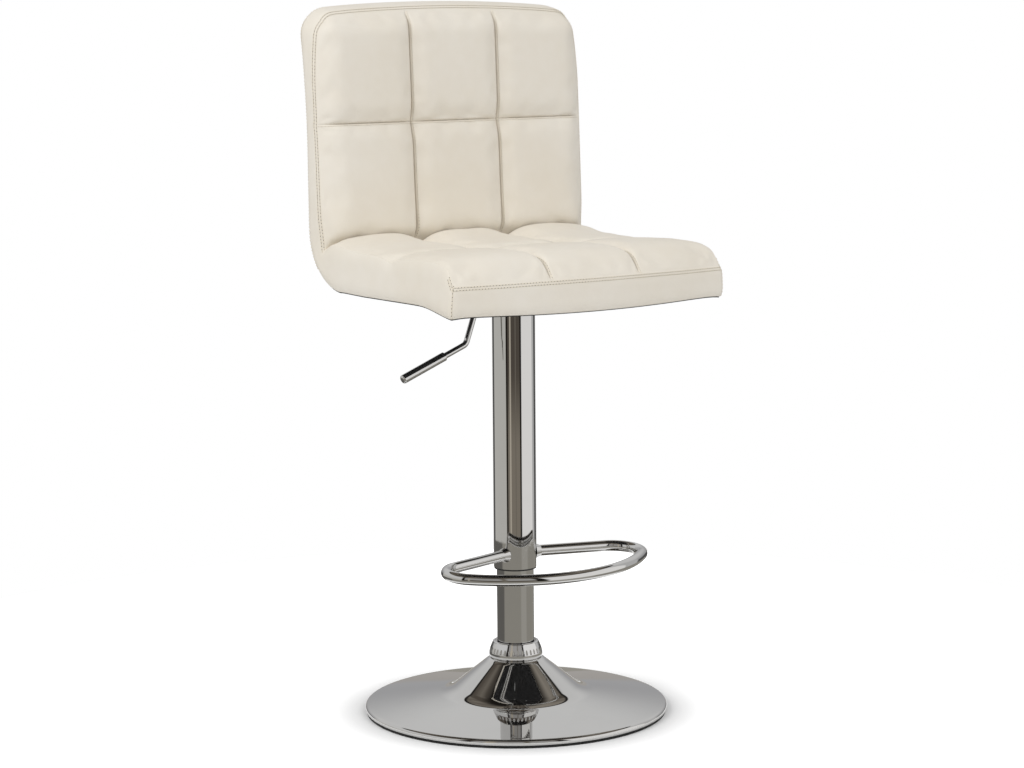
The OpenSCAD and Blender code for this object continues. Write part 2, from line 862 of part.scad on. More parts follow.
module front_outline(inset) {
    edge = crowned(seat_w / 2, top_crown, top_corner_r, top_z, inset);
    translate([0, 300, 0])
        rotate([90, 0, 0])
            linear_extrude(height = 600)
                polygon(concat(edge, [[-seat_w / 2 + inset, seat_z - 50], [seat_w / 2 - inset, seat_z - 50]]));
}

// What lies inside the borders, which cover every edge
module inside_borders() {
    intersection() {
        children();
        plan_outline(cover_t);
        front_outline(cover_t);
    }
}

module whole_border() {
    difference() {
        intersection() {
            across(concat(outer_line, reversed(inner_line)));
            plan_outline(0);
            front_outline(0);
        }
        intersection() {
            plan_outline(cover_t);
            front_outline(cover_t);
        }
    }
}

module front_zone() {
    half = seat_w / 2 - front_corner_r / 2;
    translate([-half, -front_f - 20, seat_z - 60])
        cube([2 * half, 60, 200]);
}

module front_border() {
    color(cream_tint)
        intersection() {
            whole_border();
            front_zone();
        }
}

module side_border() {
    color(cream_tint)
        difference() {
            whole_border();
            front_zone();
        }
}

module quilted_panel() {
    color(cream_tint)
        inside_borders()
            across(concat(inner_run(0, last_station, 0), reversed(inner_run(0, last_station, cover_t))));
}

module rear_cover() {
    color(cream_tint)
        inside_borders()
            across(concat(outer_run(heel_station, last_station, 0),
                reversed(outer_run(heel_station, last_station, cover_t))));
}

module underside_cover() {
    color(black_tint)
        difference() {
            inside_borders()
                across(concat(outer_run(0, heel_station, 0), reversed(outer_run(0, heel_station, cover_t))));
            at_bolts()
                translate([0, 0, seat_z - cut]) cylinder(d = bolt_d + 2 * gap, h = cover_t + 2 * cut);
        }
}

module plywood_shell() {
    color(ply_tint)
        difference() {
            inside_borders()
                across(concat(outer_run(0, last_station, cover_t),
                    reversed(outer_run(0, last_station, cover_t + ply_t))));
            at_bolts()
                translate([0, 0, seat_z]) cylinder(r = tee_barrel_r, h = cover_t + ply_t + cut);
        }
}

module foam(i0, i1) {
    inside_borders()
        across(concat(outer_run(i0, i1, cover_t + ply_t), reversed(inner_run(i0, i1, cover_t))));
}

module seat_foam() {
    color(foam_tint)
        difference() {
            foam(0, crease_station);
            // Pockets over the flanges of the tee nuts
            at_bolts()
                translate([0, 0, ply_top_z - cut])
                    cylinder(r = tee_flange_r + gap, h = tee_flange_t + gap + cut);
        }
}

module back_foam() {
    color(foam_tint) foam(crease_station, last_station);
}

floor_ring();
base_shell();
ballast_plate();
base_socket();
trim_collar();
column_tube();
column_end_plate();
column_guide_bush();
bearing_lower_washer();
bearing_balls();
bearing_cage();
bearing_upper_washer();
rubber_buffer();
retaining_clip();
piston_rod();
piston();
gas_cylinder();
rod_guide();
release_button();
cover_tube();
tube_upper_bush();
tube_lower_bush();
footrest_ring();
seat_plate();
taper_hub();
lever_pivot_pin();
pin_clips();
seat_bolts();
bolt_washers();
tee_nuts();
lever_rod();
lever_grip();
plywood_shell();
seat_foam();
back_foam();
quilted_panel();
side_border();
front_border();
rear_cover();
underside_cover();
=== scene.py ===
"""Looks of the adjustable swivel stool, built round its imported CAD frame.

The frame is in metres: +Z up, the seat's front faces -Y, the sitter's right hand is -X.
"""

import json
import math

import bpy
import numpy as np
from mathutils import Matrix, Vector


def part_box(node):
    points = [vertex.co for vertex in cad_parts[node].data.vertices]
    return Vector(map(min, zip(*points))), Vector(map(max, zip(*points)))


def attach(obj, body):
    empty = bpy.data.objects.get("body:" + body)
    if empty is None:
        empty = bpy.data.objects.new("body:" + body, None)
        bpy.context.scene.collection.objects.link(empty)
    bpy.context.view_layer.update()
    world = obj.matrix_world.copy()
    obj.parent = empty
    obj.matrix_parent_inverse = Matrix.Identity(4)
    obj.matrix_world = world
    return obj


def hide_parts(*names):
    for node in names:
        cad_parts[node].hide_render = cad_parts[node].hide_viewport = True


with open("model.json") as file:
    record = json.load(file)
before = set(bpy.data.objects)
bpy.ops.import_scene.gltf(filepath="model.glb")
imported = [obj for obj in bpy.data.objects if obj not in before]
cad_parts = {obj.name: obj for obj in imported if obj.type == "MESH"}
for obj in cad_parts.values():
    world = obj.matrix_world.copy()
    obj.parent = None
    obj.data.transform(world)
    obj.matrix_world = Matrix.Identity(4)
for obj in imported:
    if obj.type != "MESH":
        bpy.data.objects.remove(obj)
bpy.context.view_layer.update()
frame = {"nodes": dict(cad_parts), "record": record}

MM = 0.001


def linear(red, green, blue):
    """A colour written as 0-255 display values, as the linear colour that shaders use."""
    channels = (red / 255, green / 255, blue / 255)
    return tuple(c / 12.92 if c <= 0.04045 else ((c + 0.055) / 1.055) ** 2.4 for c in channels)


def grey(level):
    return (level, level, level)


# ------------------------ shader expressions


class Socket:
    """An output in a node tree. Sums written on it add the nodes that work them out."""

    def __init__(self, tree, port):
        self.tree = tree
        self.port = port

    def math(self, operation, *values):
        return self.tree.add("ShaderNodeMath", {"operation": operation}, dict(enumerate(values)))

    def __add__(self, other):
        return self.math("ADD", self, other)

    def __sub__(self, other):
        return self.math("SUBTRACT", self, other)

    def __rsub__(self, other):
        return self.math("SUBTRACT", other, self)

    def __mul__(self, other):
        return self.math("MULTIPLY", self, other)

    __radd__ = __add__
    __rmul__ = __mul__

    def absolute(self):
        return self.math("ABSOLUTE", self)

    def sine(self):
        return self.math("SINE", self)

    def step(self, low, high):
        """0 below low, 1 above high, and a smooth rise between them."""
        sockets = {"Value": self, "From Min": low, "From Max": high}
        return self.tree.add("ShaderNodeMapRange", {"interpolation_type": "SMOOTHSTEP"}, sockets)


class Tree:
    """The node tree of a material or of the world."""

    def __init__(self, owner):
        owner.use_nodes = True
        self.nodes = owner.node_tree.nodes
        self.links = owner.node_tree.links
        self.nodes.clear()

    def add(self, kind, settings=None, inputs=None, out=0):
        """Adds a node: its settings first, then the values or links of its sockets."""
        node = self.nodes.new(kind)
        for name, value in (settings or {}).items():
            setattr(node, name, value)
        for name, value in (inputs or {}).items():
            self.feed(node.inputs[name], value)
        if isinstance(out, tuple):
            return [Socket(self, node.outputs[name]) for name in out]
        return Socket(self, node.outputs[out]) if node.outputs else None

    def feed(self, port, value):
        if isinstance(value, Socket):
            self.links.new(value.port, port)
        elif port.type == "RGBA":
            port.default_value = (*value[:3], 1)
        else:
            port.default_value = value

    def mix(self, factor, first, second):
        """Colour between two colours."""
        sockets = {0: factor, 6: first, 7: second}
        return self.add("ShaderNodeMix", {"data_type": "RGBA"}, sockets, out=2)

    def place(self):
        return self.add("ShaderNodeTexCoord", out="Object")

    def vectors(self, operation, *values, out="Value"):
        sockets = dict(enumerate(values))
        return self.add("ShaderNodeVectorMath", {"operation": operation}, sockets, out)

    def scaled(self, vector, factors):
        return self.vectors("MULTIPLY", vector, factors, out="Vector")

    def distance(self):
        return self.vectors("LENGTH", self.place())

    def noise(self, vector, scale, detail=3, roughness=0.5):
        sockets = {"Vector": vector, "Scale": scale, "Detail": detail, "Roughness": roughness}
        return self.add("ShaderNodeTexNoise", None, sockets)

    def cells(self, vector, scale, feature="F1"):
        sockets = {"Vector": vector, "Scale": scale}
        return self.add("ShaderNodeTexVoronoi", {"feature": feature}, sockets)

    def axes(self, vector):
        return self.add("ShaderNodeSeparateXYZ", None, {0: vector}, out=("X", "Y", "Z"))

    def glow(self, colour):
        return self.add("ShaderNodeEmission", None, {"Color": colour, "Strength": 1.0})

    def show(self, shader, owner="Material"):
        self.add("ShaderNodeOutput" + owner, None, {"Surface": shader})


def new_material(name):
    material = bpy.data.materials.new(name)
    return material, Tree(material)


def surface(name, make):
    """A material from the shader sockets that make() gives, its relief as (height, depth)."""
    material, tree = new_material(name)
    sockets = make(tree, tree.place())
    height, depth = sockets.pop("relief")
    bump = {"Height": height, "Distance": depth, "Strength": 1.0}
    sockets["Normal"] = tree.add("ShaderNodeBump", None, bump)
    tree.show(tree.add("ShaderNodeBsdfPrincipled", None, sockets))
    return material


# ------------------------ finishes


def cream_leather(tree, place):
    light, shade = linear(234, 228, 217), linear(227, 219, 204)
    grain = tree.cells(place, 1150.0)
    creases = tree.cells(place, 420.0, "DISTANCE_TO_EDGE").step(0.0, 0.09)
    pores = tree.noise(place, 2600.0, 2)
    drift = tree.noise(place, 5.0, 2).step(0.3, 0.7)
    mottle = tree.noise(place, 55.0, 4).step(0.25, 0.75)
    handling = tree.noise(tree.scaled(place, (9.0, 9.0, 16.0)), 1.0, 4, 0.6)
    tone = tree.mix(drift * 0.6 + mottle * 0.25, light, shade)
    return {
        "Base Color": tree.mix((1 - creases) * 0.10, tone, shade),
        "Roughness": 0.44 + handling * 0.12 + grain * 0.05,
        "Specular IOR Level": 0.42,
        "Sheen Weight": 0.08,
        "Sheen Roughness": 0.5,
        "relief": (grain * 0.45 + creases * 0.6 + pores * 0.2 + mottle * 0.5, 0.07 * MM),
    }


def thread(tree, place):
    fibres = tree.noise(place, 3500.0, 3)
    return {
        "Base Color": tree.mix(fibres.step(0.3, 0.8), linear(214, 204, 182), linear(240, 234, 220)),
        "Roughness": 0.6 + fibres * 0.2,
        "Sheen Weight": 0.15,
        "relief": (fibres, 0.08 * MM),
    }


# Painted shade: a dark brown that stands for the shadow inside the needle holes.
def painted_hole_shade(tree, place):
    fleck = tree.noise(place, 900.0, 2)
    return {
        "Base Color": tree.mix(fleck, linear(120, 104, 80), linear(84, 70, 52)),
        "Roughness": 0.8 + fleck * 0.1,
        "relief": (fleck, 0.05 * MM),
    }


def polished(tree, place, tint, roughness):
    """Bright plating: faint polishing lines, a little haze from handling, and hair scratches."""
    haze = tree.noise(place, 22.0, 4, 0.6).step(0.45, 0.8)
    lines = tree.noise(tree.scaled(place, (160.0, 160.0, 9.0)), 1.0, 3)
    scratch_field = tree.noise(tree.scaled(place, (30.0, 260.0, 40.0)), 1.0, 1)
    scratches = 1 - (scratch_field - 0.5).absolute().step(0.0, 0.006)
    ripple = tree.noise(place, 9.0, 2)
    return {
        "Base Color": tree.mix(haze * 0.5, tint, tuple(c * 0.95 for c in tint)),
        "Metallic": 1.0,
        "Roughness": roughness + haze * 0.03 + scratches * 0.05,
        "relief": (ripple + lines * 0.01, 0.06 * MM),
    }


def chrome(tree, place):
    return polished(tree, place, (0.62, 0.615, 0.605), 0.025)


def chrome_plastic(tree, place):
    return polished(tree, place, (0.66, 0.655, 0.65), 0.06)


def steel(tree, place):
    turned = tree.noise(tree.scaled(place, (60.0, 60.0, 900.0)), 1.0, 3)
    bloom = tree.noise(place, 28.0, 4, 0.6)
    return {
        "Base Color": tree.mix(bloom, (0.42, 0.43, 0.44), (0.56, 0.57, 0.58)),
        "Metallic": 1.0,
        "Roughness": 0.28 + turned * 0.12 + bloom * 0.1,
        "relief": (turned, 0.03 * MM),
    }


def black_steel(tree, place):
    peel = tree.noise(place, 420.0, 2)
    dust = tree.noise(place, 30.0, 5, 0.65).step(0.5, 0.85)
    return {
        "Base Color": tree.mix(dust * 0.35, linear(26, 26, 27), linear(56, 55, 53)),
        "Roughness": 0.38 + peel * 0.12 + dust * 0.12,
        "relief": (peel, 0.10 * MM),
    }


def black_plastic(tree, place):
    texture = tree.cells(place, 1400.0)
    scuff = tree.noise(place, 60.0, 4, 0.6).step(0.5, 0.8)
    return {
        "Base Color": tree.mix(scuff * 0.3, linear(20, 20, 21), linear(44, 44, 44)),
        "Roughness": 0.42 + texture * 0.1 + scuff * 0.1,
        "relief": (texture, 0.04 * MM),
    }


def black_rubber(tree, place):
    grain = tree.noise(place, 900.0, 4, 0.7)
    bloom = tree.noise(place, 35.0, 4).step(0.45, 0.8)
    return {
        "Base Color": tree.mix(bloom * 0.4, linear(24, 24, 24), linear(58, 57, 55)),
        "Roughness": 0.72 + grain * 0.15,
        "relief": (grain, 0.08 * MM),
    }


def plywood(tree, place):
    figure = tree.noise(tree.scaled(place, (14.0, 90.0, 90.0)), 1.0, 5, 0.6)
    plies = (tree.axes(place)[2] * 4200.0).sine().step(-0.2, 0.2)
    tone = tree.mix(figure.step(0.3, 0.7), linear(196, 160, 112), linear(222, 190, 146))
    return {
        "Base Color": tree.mix(plies * 0.2, tone, linear(150, 112, 74)),
        "Roughness": 0.6 + figure * 0.2,
        "relief": (figure, 0.1 * MM),
    }


def foam(tree, place):
    pores = tree.cells(place, 1300.0)
    yellowing = tree.noise(place, 14.0, 3)
    return {
        "Base Color": tree.mix(yellowing, linear(236, 220, 160), linear(224, 200, 128)),
        "Roughness": 0.85 + pores * 0.1,
        "relief": (pores, 0.4 * MM),
    }


def black_lining(tree, place):
    """Bonded non-woven cloth: random fibres pressed flat on a grid of small dots."""
    fibres = tree.noise(tree.scaled(place, (1500.0, 500.0, 900.0)), 1.0, 5, 0.7)
    across, along, _ = tree.axes(place)
    dots = (across * 2600.0).sine() * (along * 2600.0).sine()
    pressed = dots.step(0.25, 0.7)
    return {
        "Base Color": tree.mix(fibres, linear(22, 22, 24), linear(44, 44, 46)),
        "Roughness": 0.75 + fibres * 0.2,
        "relief": (fibres * 0.5 + (1 - pressed) * 0.7, 0.12 * MM),
    }


FINISHES = (cream_leather, chrome, chrome_plastic, steel, black_steel, black_plastic)
FINISHES += (black_rubber, plywood, foam, black_lining, thread, painted_hole_shade)
materials = {make.__name__: surface(make.__name__, make) for make in FINISHES}


def dress(piece, finish):
    """Gives a whole piece one finish."""
    if piece.material_slots:
        for slot in piece.material_slots:
            slot.link = "OBJECT"
            slot.material = materials[finish]
    else:
        piece.data.materials.append(materials[finish])


# ------------------------ mesh helpers


def placed(name, data):
    """A new object with that data, in the scene."""
    thing = bpy.data.objects.new(name, data)
    bpy.context.scene.collection.objects.link(thing)
    return thing


def mesh_piece(name, points, faces, finish):
    mesh = bpy.data.meshes.new(name)
    mesh.from_pydata([tuple(p) for p in points], [], [tuple(f) for f in faces])
    mesh.update()
    mesh.polygons.foreach_set("use_smooth", [True] * len(mesh.polygons))
    piece = placed(name, mesh)
    dress(piece, finish)
    return piece


def arc(centre, radius, start, end, count):
    """Points on an arc in a plane, both ends included, angles in degrees."""
    angles = np.radians(np.linspace(start, end, count + 1))
    return [(centre[0] + radius * math.cos(a), centre[1] + radius * math.sin(a)) for a in angles]


def lathe(name, profile, finish, sides=256):
    """A closed profile of (radius, height) points turned about the column's axis."""
    rows = len(profile)
    turns = [2 * math.pi * k / sides for k in range(sides)]
    points = [(r * math.cos(turn), r * math.sin(turn), z) for turn in turns for r, z in profile]
    faces = []
    for k in range(sides):
        here, there = k * rows, (k + 1) % sides * rows
        for j in range(rows):
            after = (j + 1) % rows
            faces.append((here + j, there + j, there + after, here + after))
    return mesh_piece(name, points, faces, finish)


def lerp(a, b, t):
    return a + (b - a) * t


def run_along(path):
    """Distance from a path's first point to each of its points, along it."""
    return np.concatenate([[0], np.cumsum(np.linalg.norm(np.diff(path, axis=0), axis=1))])


def points_at(wanted, run, path):
    """The places at wanted distances along a path."""
    return np.stack([np.interp(wanted, run, axis) for axis in path.T], -1)


def circle(centre, across, up, radius):
    """Points round a thread or a needle hole, in the plane of two directions."""
    turns = [2 * math.pi * k / THREAD_SIDES for k in range(THREAD_SIDES)]
    return [centre + radius * (across * math.cos(turn) + up * math.sin(turn)) for turn in turns]


def smooth_step(t):
    t = np.clip(t, 0, 1)
    return t * t * (3 - 2 * t)


def unit(v):
    return v / np.maximum(np.linalg.norm(v, axis=-1, keepdims=True), 1e-12)


def rests(piece, slot, *nodes):
    """The piece belongs to the seat's body and stands for those CAD nodes. The slot is not used."""
    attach(piece, "seat")
    if nodes:
        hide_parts(*nodes)


# ------------------------ trumpet base

RIM_R = 4.5 * MM
HEM_W = 4 * MM
DISC_EDGE_Z = 13 * MM
DISC_SLOPE = 7.7
CONE_SLOPE = 39.0
NECK_R = 35.5 * MM
SWEEP_R = 45 * MM
SHELL_T = 1.2 * MM


def slide(start, end, count):
    """Points between two points, the last one left out."""
    shares = np.arange(count) / count
    return [(lerp(start[0], end[0], t), lerp(start[1], end[1], t)) for t in shares]


def base_face(depth):
    """The shell's profile from the hem, round the rim and up to the neck, moved in by a depth."""
    low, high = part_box("base_shell")
    rim = (high.x - RIM_R, low.z + RIM_R)
    edge = (rim[0] - RIM_R / 2, DISC_EDGE_Z)
    disc_rise, cone_rise = math.tan(math.radians(DISC_SLOPE)), math.tan(math.radians(CONE_SLOPE))
    meet_r = (high.z - edge[1] + NECK_R * cone_rise - edge[0] * disc_rise) / (cone_rise - disc_rise)
    meet_z = edge[1] + (edge[0] - meet_r) * disc_rise
    setback = SWEEP_R * math.tan(math.radians((CONE_SLOPE - DISC_SLOPE) / 2))
    disc, cone = math.radians(DISC_SLOPE), math.radians(CONE_SLOPE)
    start = (meet_r + setback * math.cos(disc), meet_z - setback * math.sin(disc))
    centre = (start[0] + SWEEP_R * math.sin(disc), start[1] + SWEEP_R * math.cos(disc))
    rim_turn = arc(rim, RIM_R - depth, -90, 90 - DISC_SLOPE, 18)
    sweep = arc(centre, SWEEP_R + depth, 270 - DISC_SLOPE, 270 - CONE_SLOPE, 24)
    neck = (NECK_R - depth * math.sin(cone), high.z - depth * math.cos(cone))
    hem = [(rim[0] - HEM_W, low.z + depth)]
    disc_run, cone_run = slide(rim_turn[-1], sweep[0], 20)[1:], slide(sweep[-1], neck, 8)[1:]
    return hem + rim_turn + disc_run + sweep + cone_run + [neck]


def trumpet_base():
    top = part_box("base_shell")[1].z
    column_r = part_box("column_tube")[1].x
    lip = [(NECK_R - 0.4 * MM, top), (column_r, top), (column_r, top - SHELL_T)]
    profile = base_face(0) + lip + base_face(SHELL_T)[::-1]
    base = lathe("trumpet_base", profile, "chrome")
    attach(base, "base")
    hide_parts("base_shell")


# ------------------------ upholstery

# The grid of pillows, with its cells crowded toward the seams
COLUMNS = 3
ROWS = 4
PILLOW_CELLS = 24
ROWS_AT = range(0, ROWS * PILLOW_CELLS + 1, PILLOW_CELLS)
CROWDING = 2.5
CELL_SPAN = 142 * MM
ROW_SPAN = 150 * MM
COLUMN_SPAN = 140 * MM
COLUMN_SEAM = 70 * MM
SEAM_INSET = 5 * MM
TOP_INSET = 9.5 * MM
PATH_STEPS = 60

# How high the pillows stand
SEAT_RISE = 18 * MM
BACK_RISE = 14 * MM
SIDE_RISE = 15.5 * MM
SIDE_EDGE = 12.5 * MM
CROWN = 0.08
SIDE_FROM = 0.8
CROSS_FADE = 0.34

# How they fall to their seams: a short wall and a round shoulder, softer toward the border
WALL = 0.35
SOFT_WALL = 0.1
WALL_RUN = 0.5 * MM
SHOULDER = 11 * MM
EDGE_SHOULDER = 20 * MM
FRONT_SHOULDER = 32 * MM
CROSS_DEPTH = 0.5
CROSSING_R = 15 * MM
CROSSING_DEPTH = 0.5

# The crease between seat and back, where pillows press on each other
CREASE_SHOULDER = 55 * MM
CREASE_SWELL = 2.5 * MM
CREASE_SWELL_RUN = 70 * MM
CREASE_SHARPNESS = 16
REAR_SLOPE = 2.2
BACK_SLOPE = 1.02
GATHER_SEAT = 90 * MM
GATHER_BACK = 20 * MM
GATHER_WALL = 0.2

# Where the seat's seams run, over the plywood
PANEL_H = 40 * MM
CREASE_LIFT = 13.5 * MM
CREASE_RUN = 40 * MM
THIGH_SWELL = 3 * MM
THIGH_RUN = 82 * MM
FRONT_FALL = 14.5 * MM
FALL_FROM = 109 * MM

# How the outline gives way to the padding
SIDE_SWELL = 3.5 * MM
SWELL_RUN = 50 * MM
TOP_TAPER = 8 * MM
TAPER_RUN = 100 * MM
FRONT_DROOP = 6 * MM
FRONT_FLARE = 3 * MM
CORNER_DROOP = 1.5 * MM
SIDE_DROOP = 2.5 * MM
DROOP_SHARE = 0.7
OUTER_INSET = 1.5 * MM
END_FADE = 1.6

# The boxing between the two faces, and the seams' sharpness
BORDER_CELLS = 10
STITCH_ROWS = (1.9 * MM, 5.3 * MM)
TOP_BULGE = 6.0 * MM
FRONT_BULGE = 2.6 * MM
SIDE_BULGE = 4.2 * MM
CORNER_CELLS = 6
SEWN_CELLS = 3
EDGE_CREASE = 0.7
CORNER_CREASE = 0.8

# The section and the ends of the pad, round the seat's and the back's plywood
FRONT_BOW = 13 * MM
FRONT_R = 5 * MM
TOP_CROWN = 9 * MM
TOP_R = 38 * MM
PANEL_FRONT_R = FRONT_R - 2 * MM
PANEL_TOP_R = TOP_R - 12 * MM
HEEL_R = 78 * MM
BACK_REACH = 168 * MM
BACK_T = 33 * MM
BACK_TOP_T = 40 * MM
LEAN_R = 970 * MM
LEAN_RISE = 174 * MM
LIP_RUN = 80 * MM

# The lining
LINING_T = 0.8 * MM
LINING_INSET = 1.5 * MM
LINING_PAST_HEEL = 34 * MM
LINING_RIM = 1.1 * MM
RIM_SHARE = 12
STAPLE_PITCH = 26 * MM
STAPLE_CELLS = 3
STAPLE_R = 0.4 * MM

seat_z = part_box("seat_plate")[1].z
half_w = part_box("side_border")[1].x
top_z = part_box("side_border")[1].z
front_f = -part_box("front_border")[0].y
lip_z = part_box("front_border")[0].z
corner_f = front_f - FRONT_BOW
heel_f = HEEL_R - BACK_REACH
heel_z = seat_z + HEEL_R
crease_f = 2 * MM + BACK_T - BACK_REACH
crease_z = seat_z + 53.5 * MM
cross_f = 28 * MM
cross_z = lerp(crease_z, top_z, 0.508)


def back_f(z):
    return -BACK_REACH - np.maximum(0, z - seat_z - LEAN_RISE) ** 2 / (2 * LEAN_R)


def inner_back_f(z):
    share = (z - crease_z) / (top_z - crease_z)
    return lerp(crease_f, back_f(top_z) + BACK_TOP_T, share) - 0.5 * MM


def seat_seam_z(f):
    """Height of the seat's long seams: down from the crease, level, then over the front edge."""
    from_crease = CREASE_LIFT * np.exp((crease_f - f) / CREASE_RUN)
    swell = THIGH_SWELL * smooth_step((f - cross_f) / THIGH_RUN)
    over = FRONT_FALL * np.clip((f - FALL_FROM) / (corner_f - FALL_FROM), 0, 1) ** 3.2
    return seat_z + PANEL_H + from_crease + swell - over


def under_z(f):
    lip = smooth_step((f - corner_f + LIP_RUN) / LIP_RUN)
    return seat_z + LINING_T - (seat_z + LINING_T - lip_z) * lip


def spaced():
    """Shares of the way over a pillow, closer together toward its seams."""
    s = np.arange(PILLOW_CELLS + 1) / PILLOW_CELLS
    near = np.minimum(s, 1 - s)
    return np.where(s < 0.5, (2 * near) ** CROWDING / 2, 1 - (2 * near) ** CROWDING / 2)


def side_by_side(count):
    """The same for each of several pillows, which have their seams in common."""
    return np.concatenate([spaced()] + [spaced()[1:]] * (count - 1))


def along_path(path, start, end, shares):
    """Points at shares of the way between two points' nearest places on a path."""
    run = run_along(path)
    near = [run[np.argmin(np.linalg.norm(path - np.array(p), axis=1))] for p in (start, end)]
    return points_at(lerp(near[0], near[1], shares), run, path)


def seam_line():
    """Where the quilted panel's rows are sewn, as forward and height, and their normals."""
    f = np.linspace(corner_f + 0.5 * MM, crease_f, 800)
    seat = np.stack([f, seat_seam_z(f)], 1)
    z = np.linspace(crease_z, top_z - TOP_INSET, 800)
    back = np.stack([inner_back_f(z), z], 1)
    cross = (cross_f, seat_seam_z(cross_f))
    back_cross = (inner_back_f(cross_z), cross_z)
    runs = ((seat, seat[0], cross), (seat, cross, seat[-1]))
    runs += ((back, back[0], back_cross), (back, back_cross, back[-1]))
    line = [along_path(path, start, end, spaced())[1:] for path, start, end in runs]
    line = np.concatenate([seat[:1]] + line)
    seat_rows = ROWS_AT[2] + 1
    normals = []
    for part in (line[:seat_rows], line[seat_rows:]):
        along = np.gradient(part, axis=0)
        normals.append(unit(np.stack([along[:, 1], -along[:, 0]], 1)))
    return line, np.concatenate(normals)


def outer_line():
    """The pad's outer face as forward and height, one point for each row of the quilted panel."""
    seat = [(f, float(under_z(f))) for f in np.linspace(corner_f, heel_f, PATH_STEPS)]
    heel = arc((heel_f, heel_z), HEEL_R, 270, 180, 40)
    back = [(float(back_f(z)), z) for z in np.linspace(heel_z, top_z - 1.5 * MM, PATH_STEPS)]
    path = np.array(seat + heel[1:] + back[1:])
    run = run_along(path)
    cross = np.interp(-cross_f, -path[:PATH_STEPS, 0], run[:PATH_STEPS])
    heel_mid = run[PATH_STEPS - 1] + HEEL_R * math.pi / 4
    back_cross = np.interp(cross_z + 4 * MM, path[-PATH_STEPS:, 1], run[-PATH_STEPS:])
    anchors = (0, cross, heel_mid, back_cross, run[-1])
    wanted = [0.0]
    even = np.arange(1, PILLOW_CELLS + 1) / PILLOW_CELLS
    for start, end in zip(anchors, anchors[1:]):
        wanted += list(lerp(start, end, (even + spaced()[1:]) / 2))
    return points_at(wanted, run, path)


def rounded_corner(p, q, radius):
    """How far a point at p and q from two edges moves so that their corner is round."""
    reach = 2 * radius

    def on_outline(run):
        """The rounded outline from the corner's middle out along one edge."""
        arc_run = radius * math.pi / 4
        total = arc_run + reach - radius
        s = np.clip(run / reach, 0, 1) * total
        turn = np.minimum(s, arc_run) / radius
        along = radius - radius * np.cos(math.pi / 4 + turn)
        off = radius - radius * np.sin(math.pi / 4 + turn)
        return along + np.maximum(0, s - arc_run), np.where(s < arc_run, off, 0)

    p_fade = np.clip(1 - p / reach, 0, 1)
    q_fade = np.clip(1 - q / reach, 0, 1)
    p_along, p_off = on_outline(p)
    q_along, q_off = on_outline(q)
    corner = radius * (1 - math.cos(math.pi / 4))
    dp = (p_along - np.minimum(p, reach)) * q_fade + q_off * p_fade - corner * p_fade * q_fade
    dq = p_off * q_fade + (q_along - np.minimum(q, reach)) * p_fade - corner * p_fade * q_fade
    inside = (p < reach) & (q < reach)
    return np.where(inside, dp, 0), np.where(inside, dq, 0)


def shaped(x, line, front_r, top_r):
    """A grid of points over the section, its ends bowed and round. Gives x, forward, height."""
    half = x.max()
    X = np.repeat(x[:, None], len(line), 1)
    F = np.repeat(line[None, :, 0], len(x), 0)
    Z = np.repeat(line[None, :, 1], len(x), 0)
    run = run_along(line)
    side = half - np.abs(X)
    share = (X / half) ** 2
    from_front = np.repeat(run[None, :], len(x), 0)
    from_top = run[-1] - from_front
    dx_front, dy_front = rounded_corner(side, from_front, front_r)
    dx_top, dy_top = rounded_corner(side, from_top, top_r)
    X = X - np.sign(X) * (dx_front + dx_top)
    front_fade = np.clip(1 - from_front / run[ROWS_AT[1]], 0, 1) ** END_FADE
    top_fade = np.clip(1 - from_top / (run[ROWS_AT[4]] - run[ROWS_AT[3]]), 0, 1) ** END_FADE
    F = F - dy_front + FRONT_BOW * (1 - share) * front_fade
    Z = Z - dy_top - TOP_CROWN * share * top_fade
    return X, F, Z


def shoulder(reach, wall, radius=SHOULDER):
    """Share of its height that a pillow has at a distance from its seam: a wall, then round."""
    upright = np.clip(reach / WALL_RUN, 0, 1)
    return wall * upright + (1 - wall) * np.sqrt(1 - (1 - np.clip(reach / radius, 0, 1)) ** 2)


def pressed(reach, rise, slope):
    """The same where the seat's and the back's pillows meet in the crease, with a slope."""
    high = rise + CREASE_SWELL * (1 - smooth_step(reach / CREASE_SWELL_RUN))
    ratio = slope * reach / high
    return high / rise * ratio / (1 + ratio**CREASE_SHARPNESS) ** (1 / CREASE_SHARPNESS)


def loft(t, wall=SOFT_WALL, radius=SHOULDER):
    """Share of its height that a pillow has at a share of the way over it, between two seams."""
    return shoulder(np.minimum(t, 1 - t) * CELL_SPAN, wall, radius)


def rolled(t, radius):
    """The same toward the border, where the face rolls over into the boxing."""
    return np.sin(np.pi / 2 * np.clip(np.minimum(t, 1 - t) * CELL_SPAN / radius, 0, 1))


def shallow(t):
    """The same across a seam that is not drawn down as far."""
    return 1 - CROSS_DEPTH * (1 - loft(t))


def both(a, b):
    """The lower of two lofts, with a rounded meeting where both fall away."""
    low_a, low_b = np.minimum(a, 1), np.minimum(b, 1)
    return np.maximum(a, 1) * (1 - np.clip(np.sqrt((1 - low_a) ** 2 + (1 - low_b) ** 2), 0, 1))


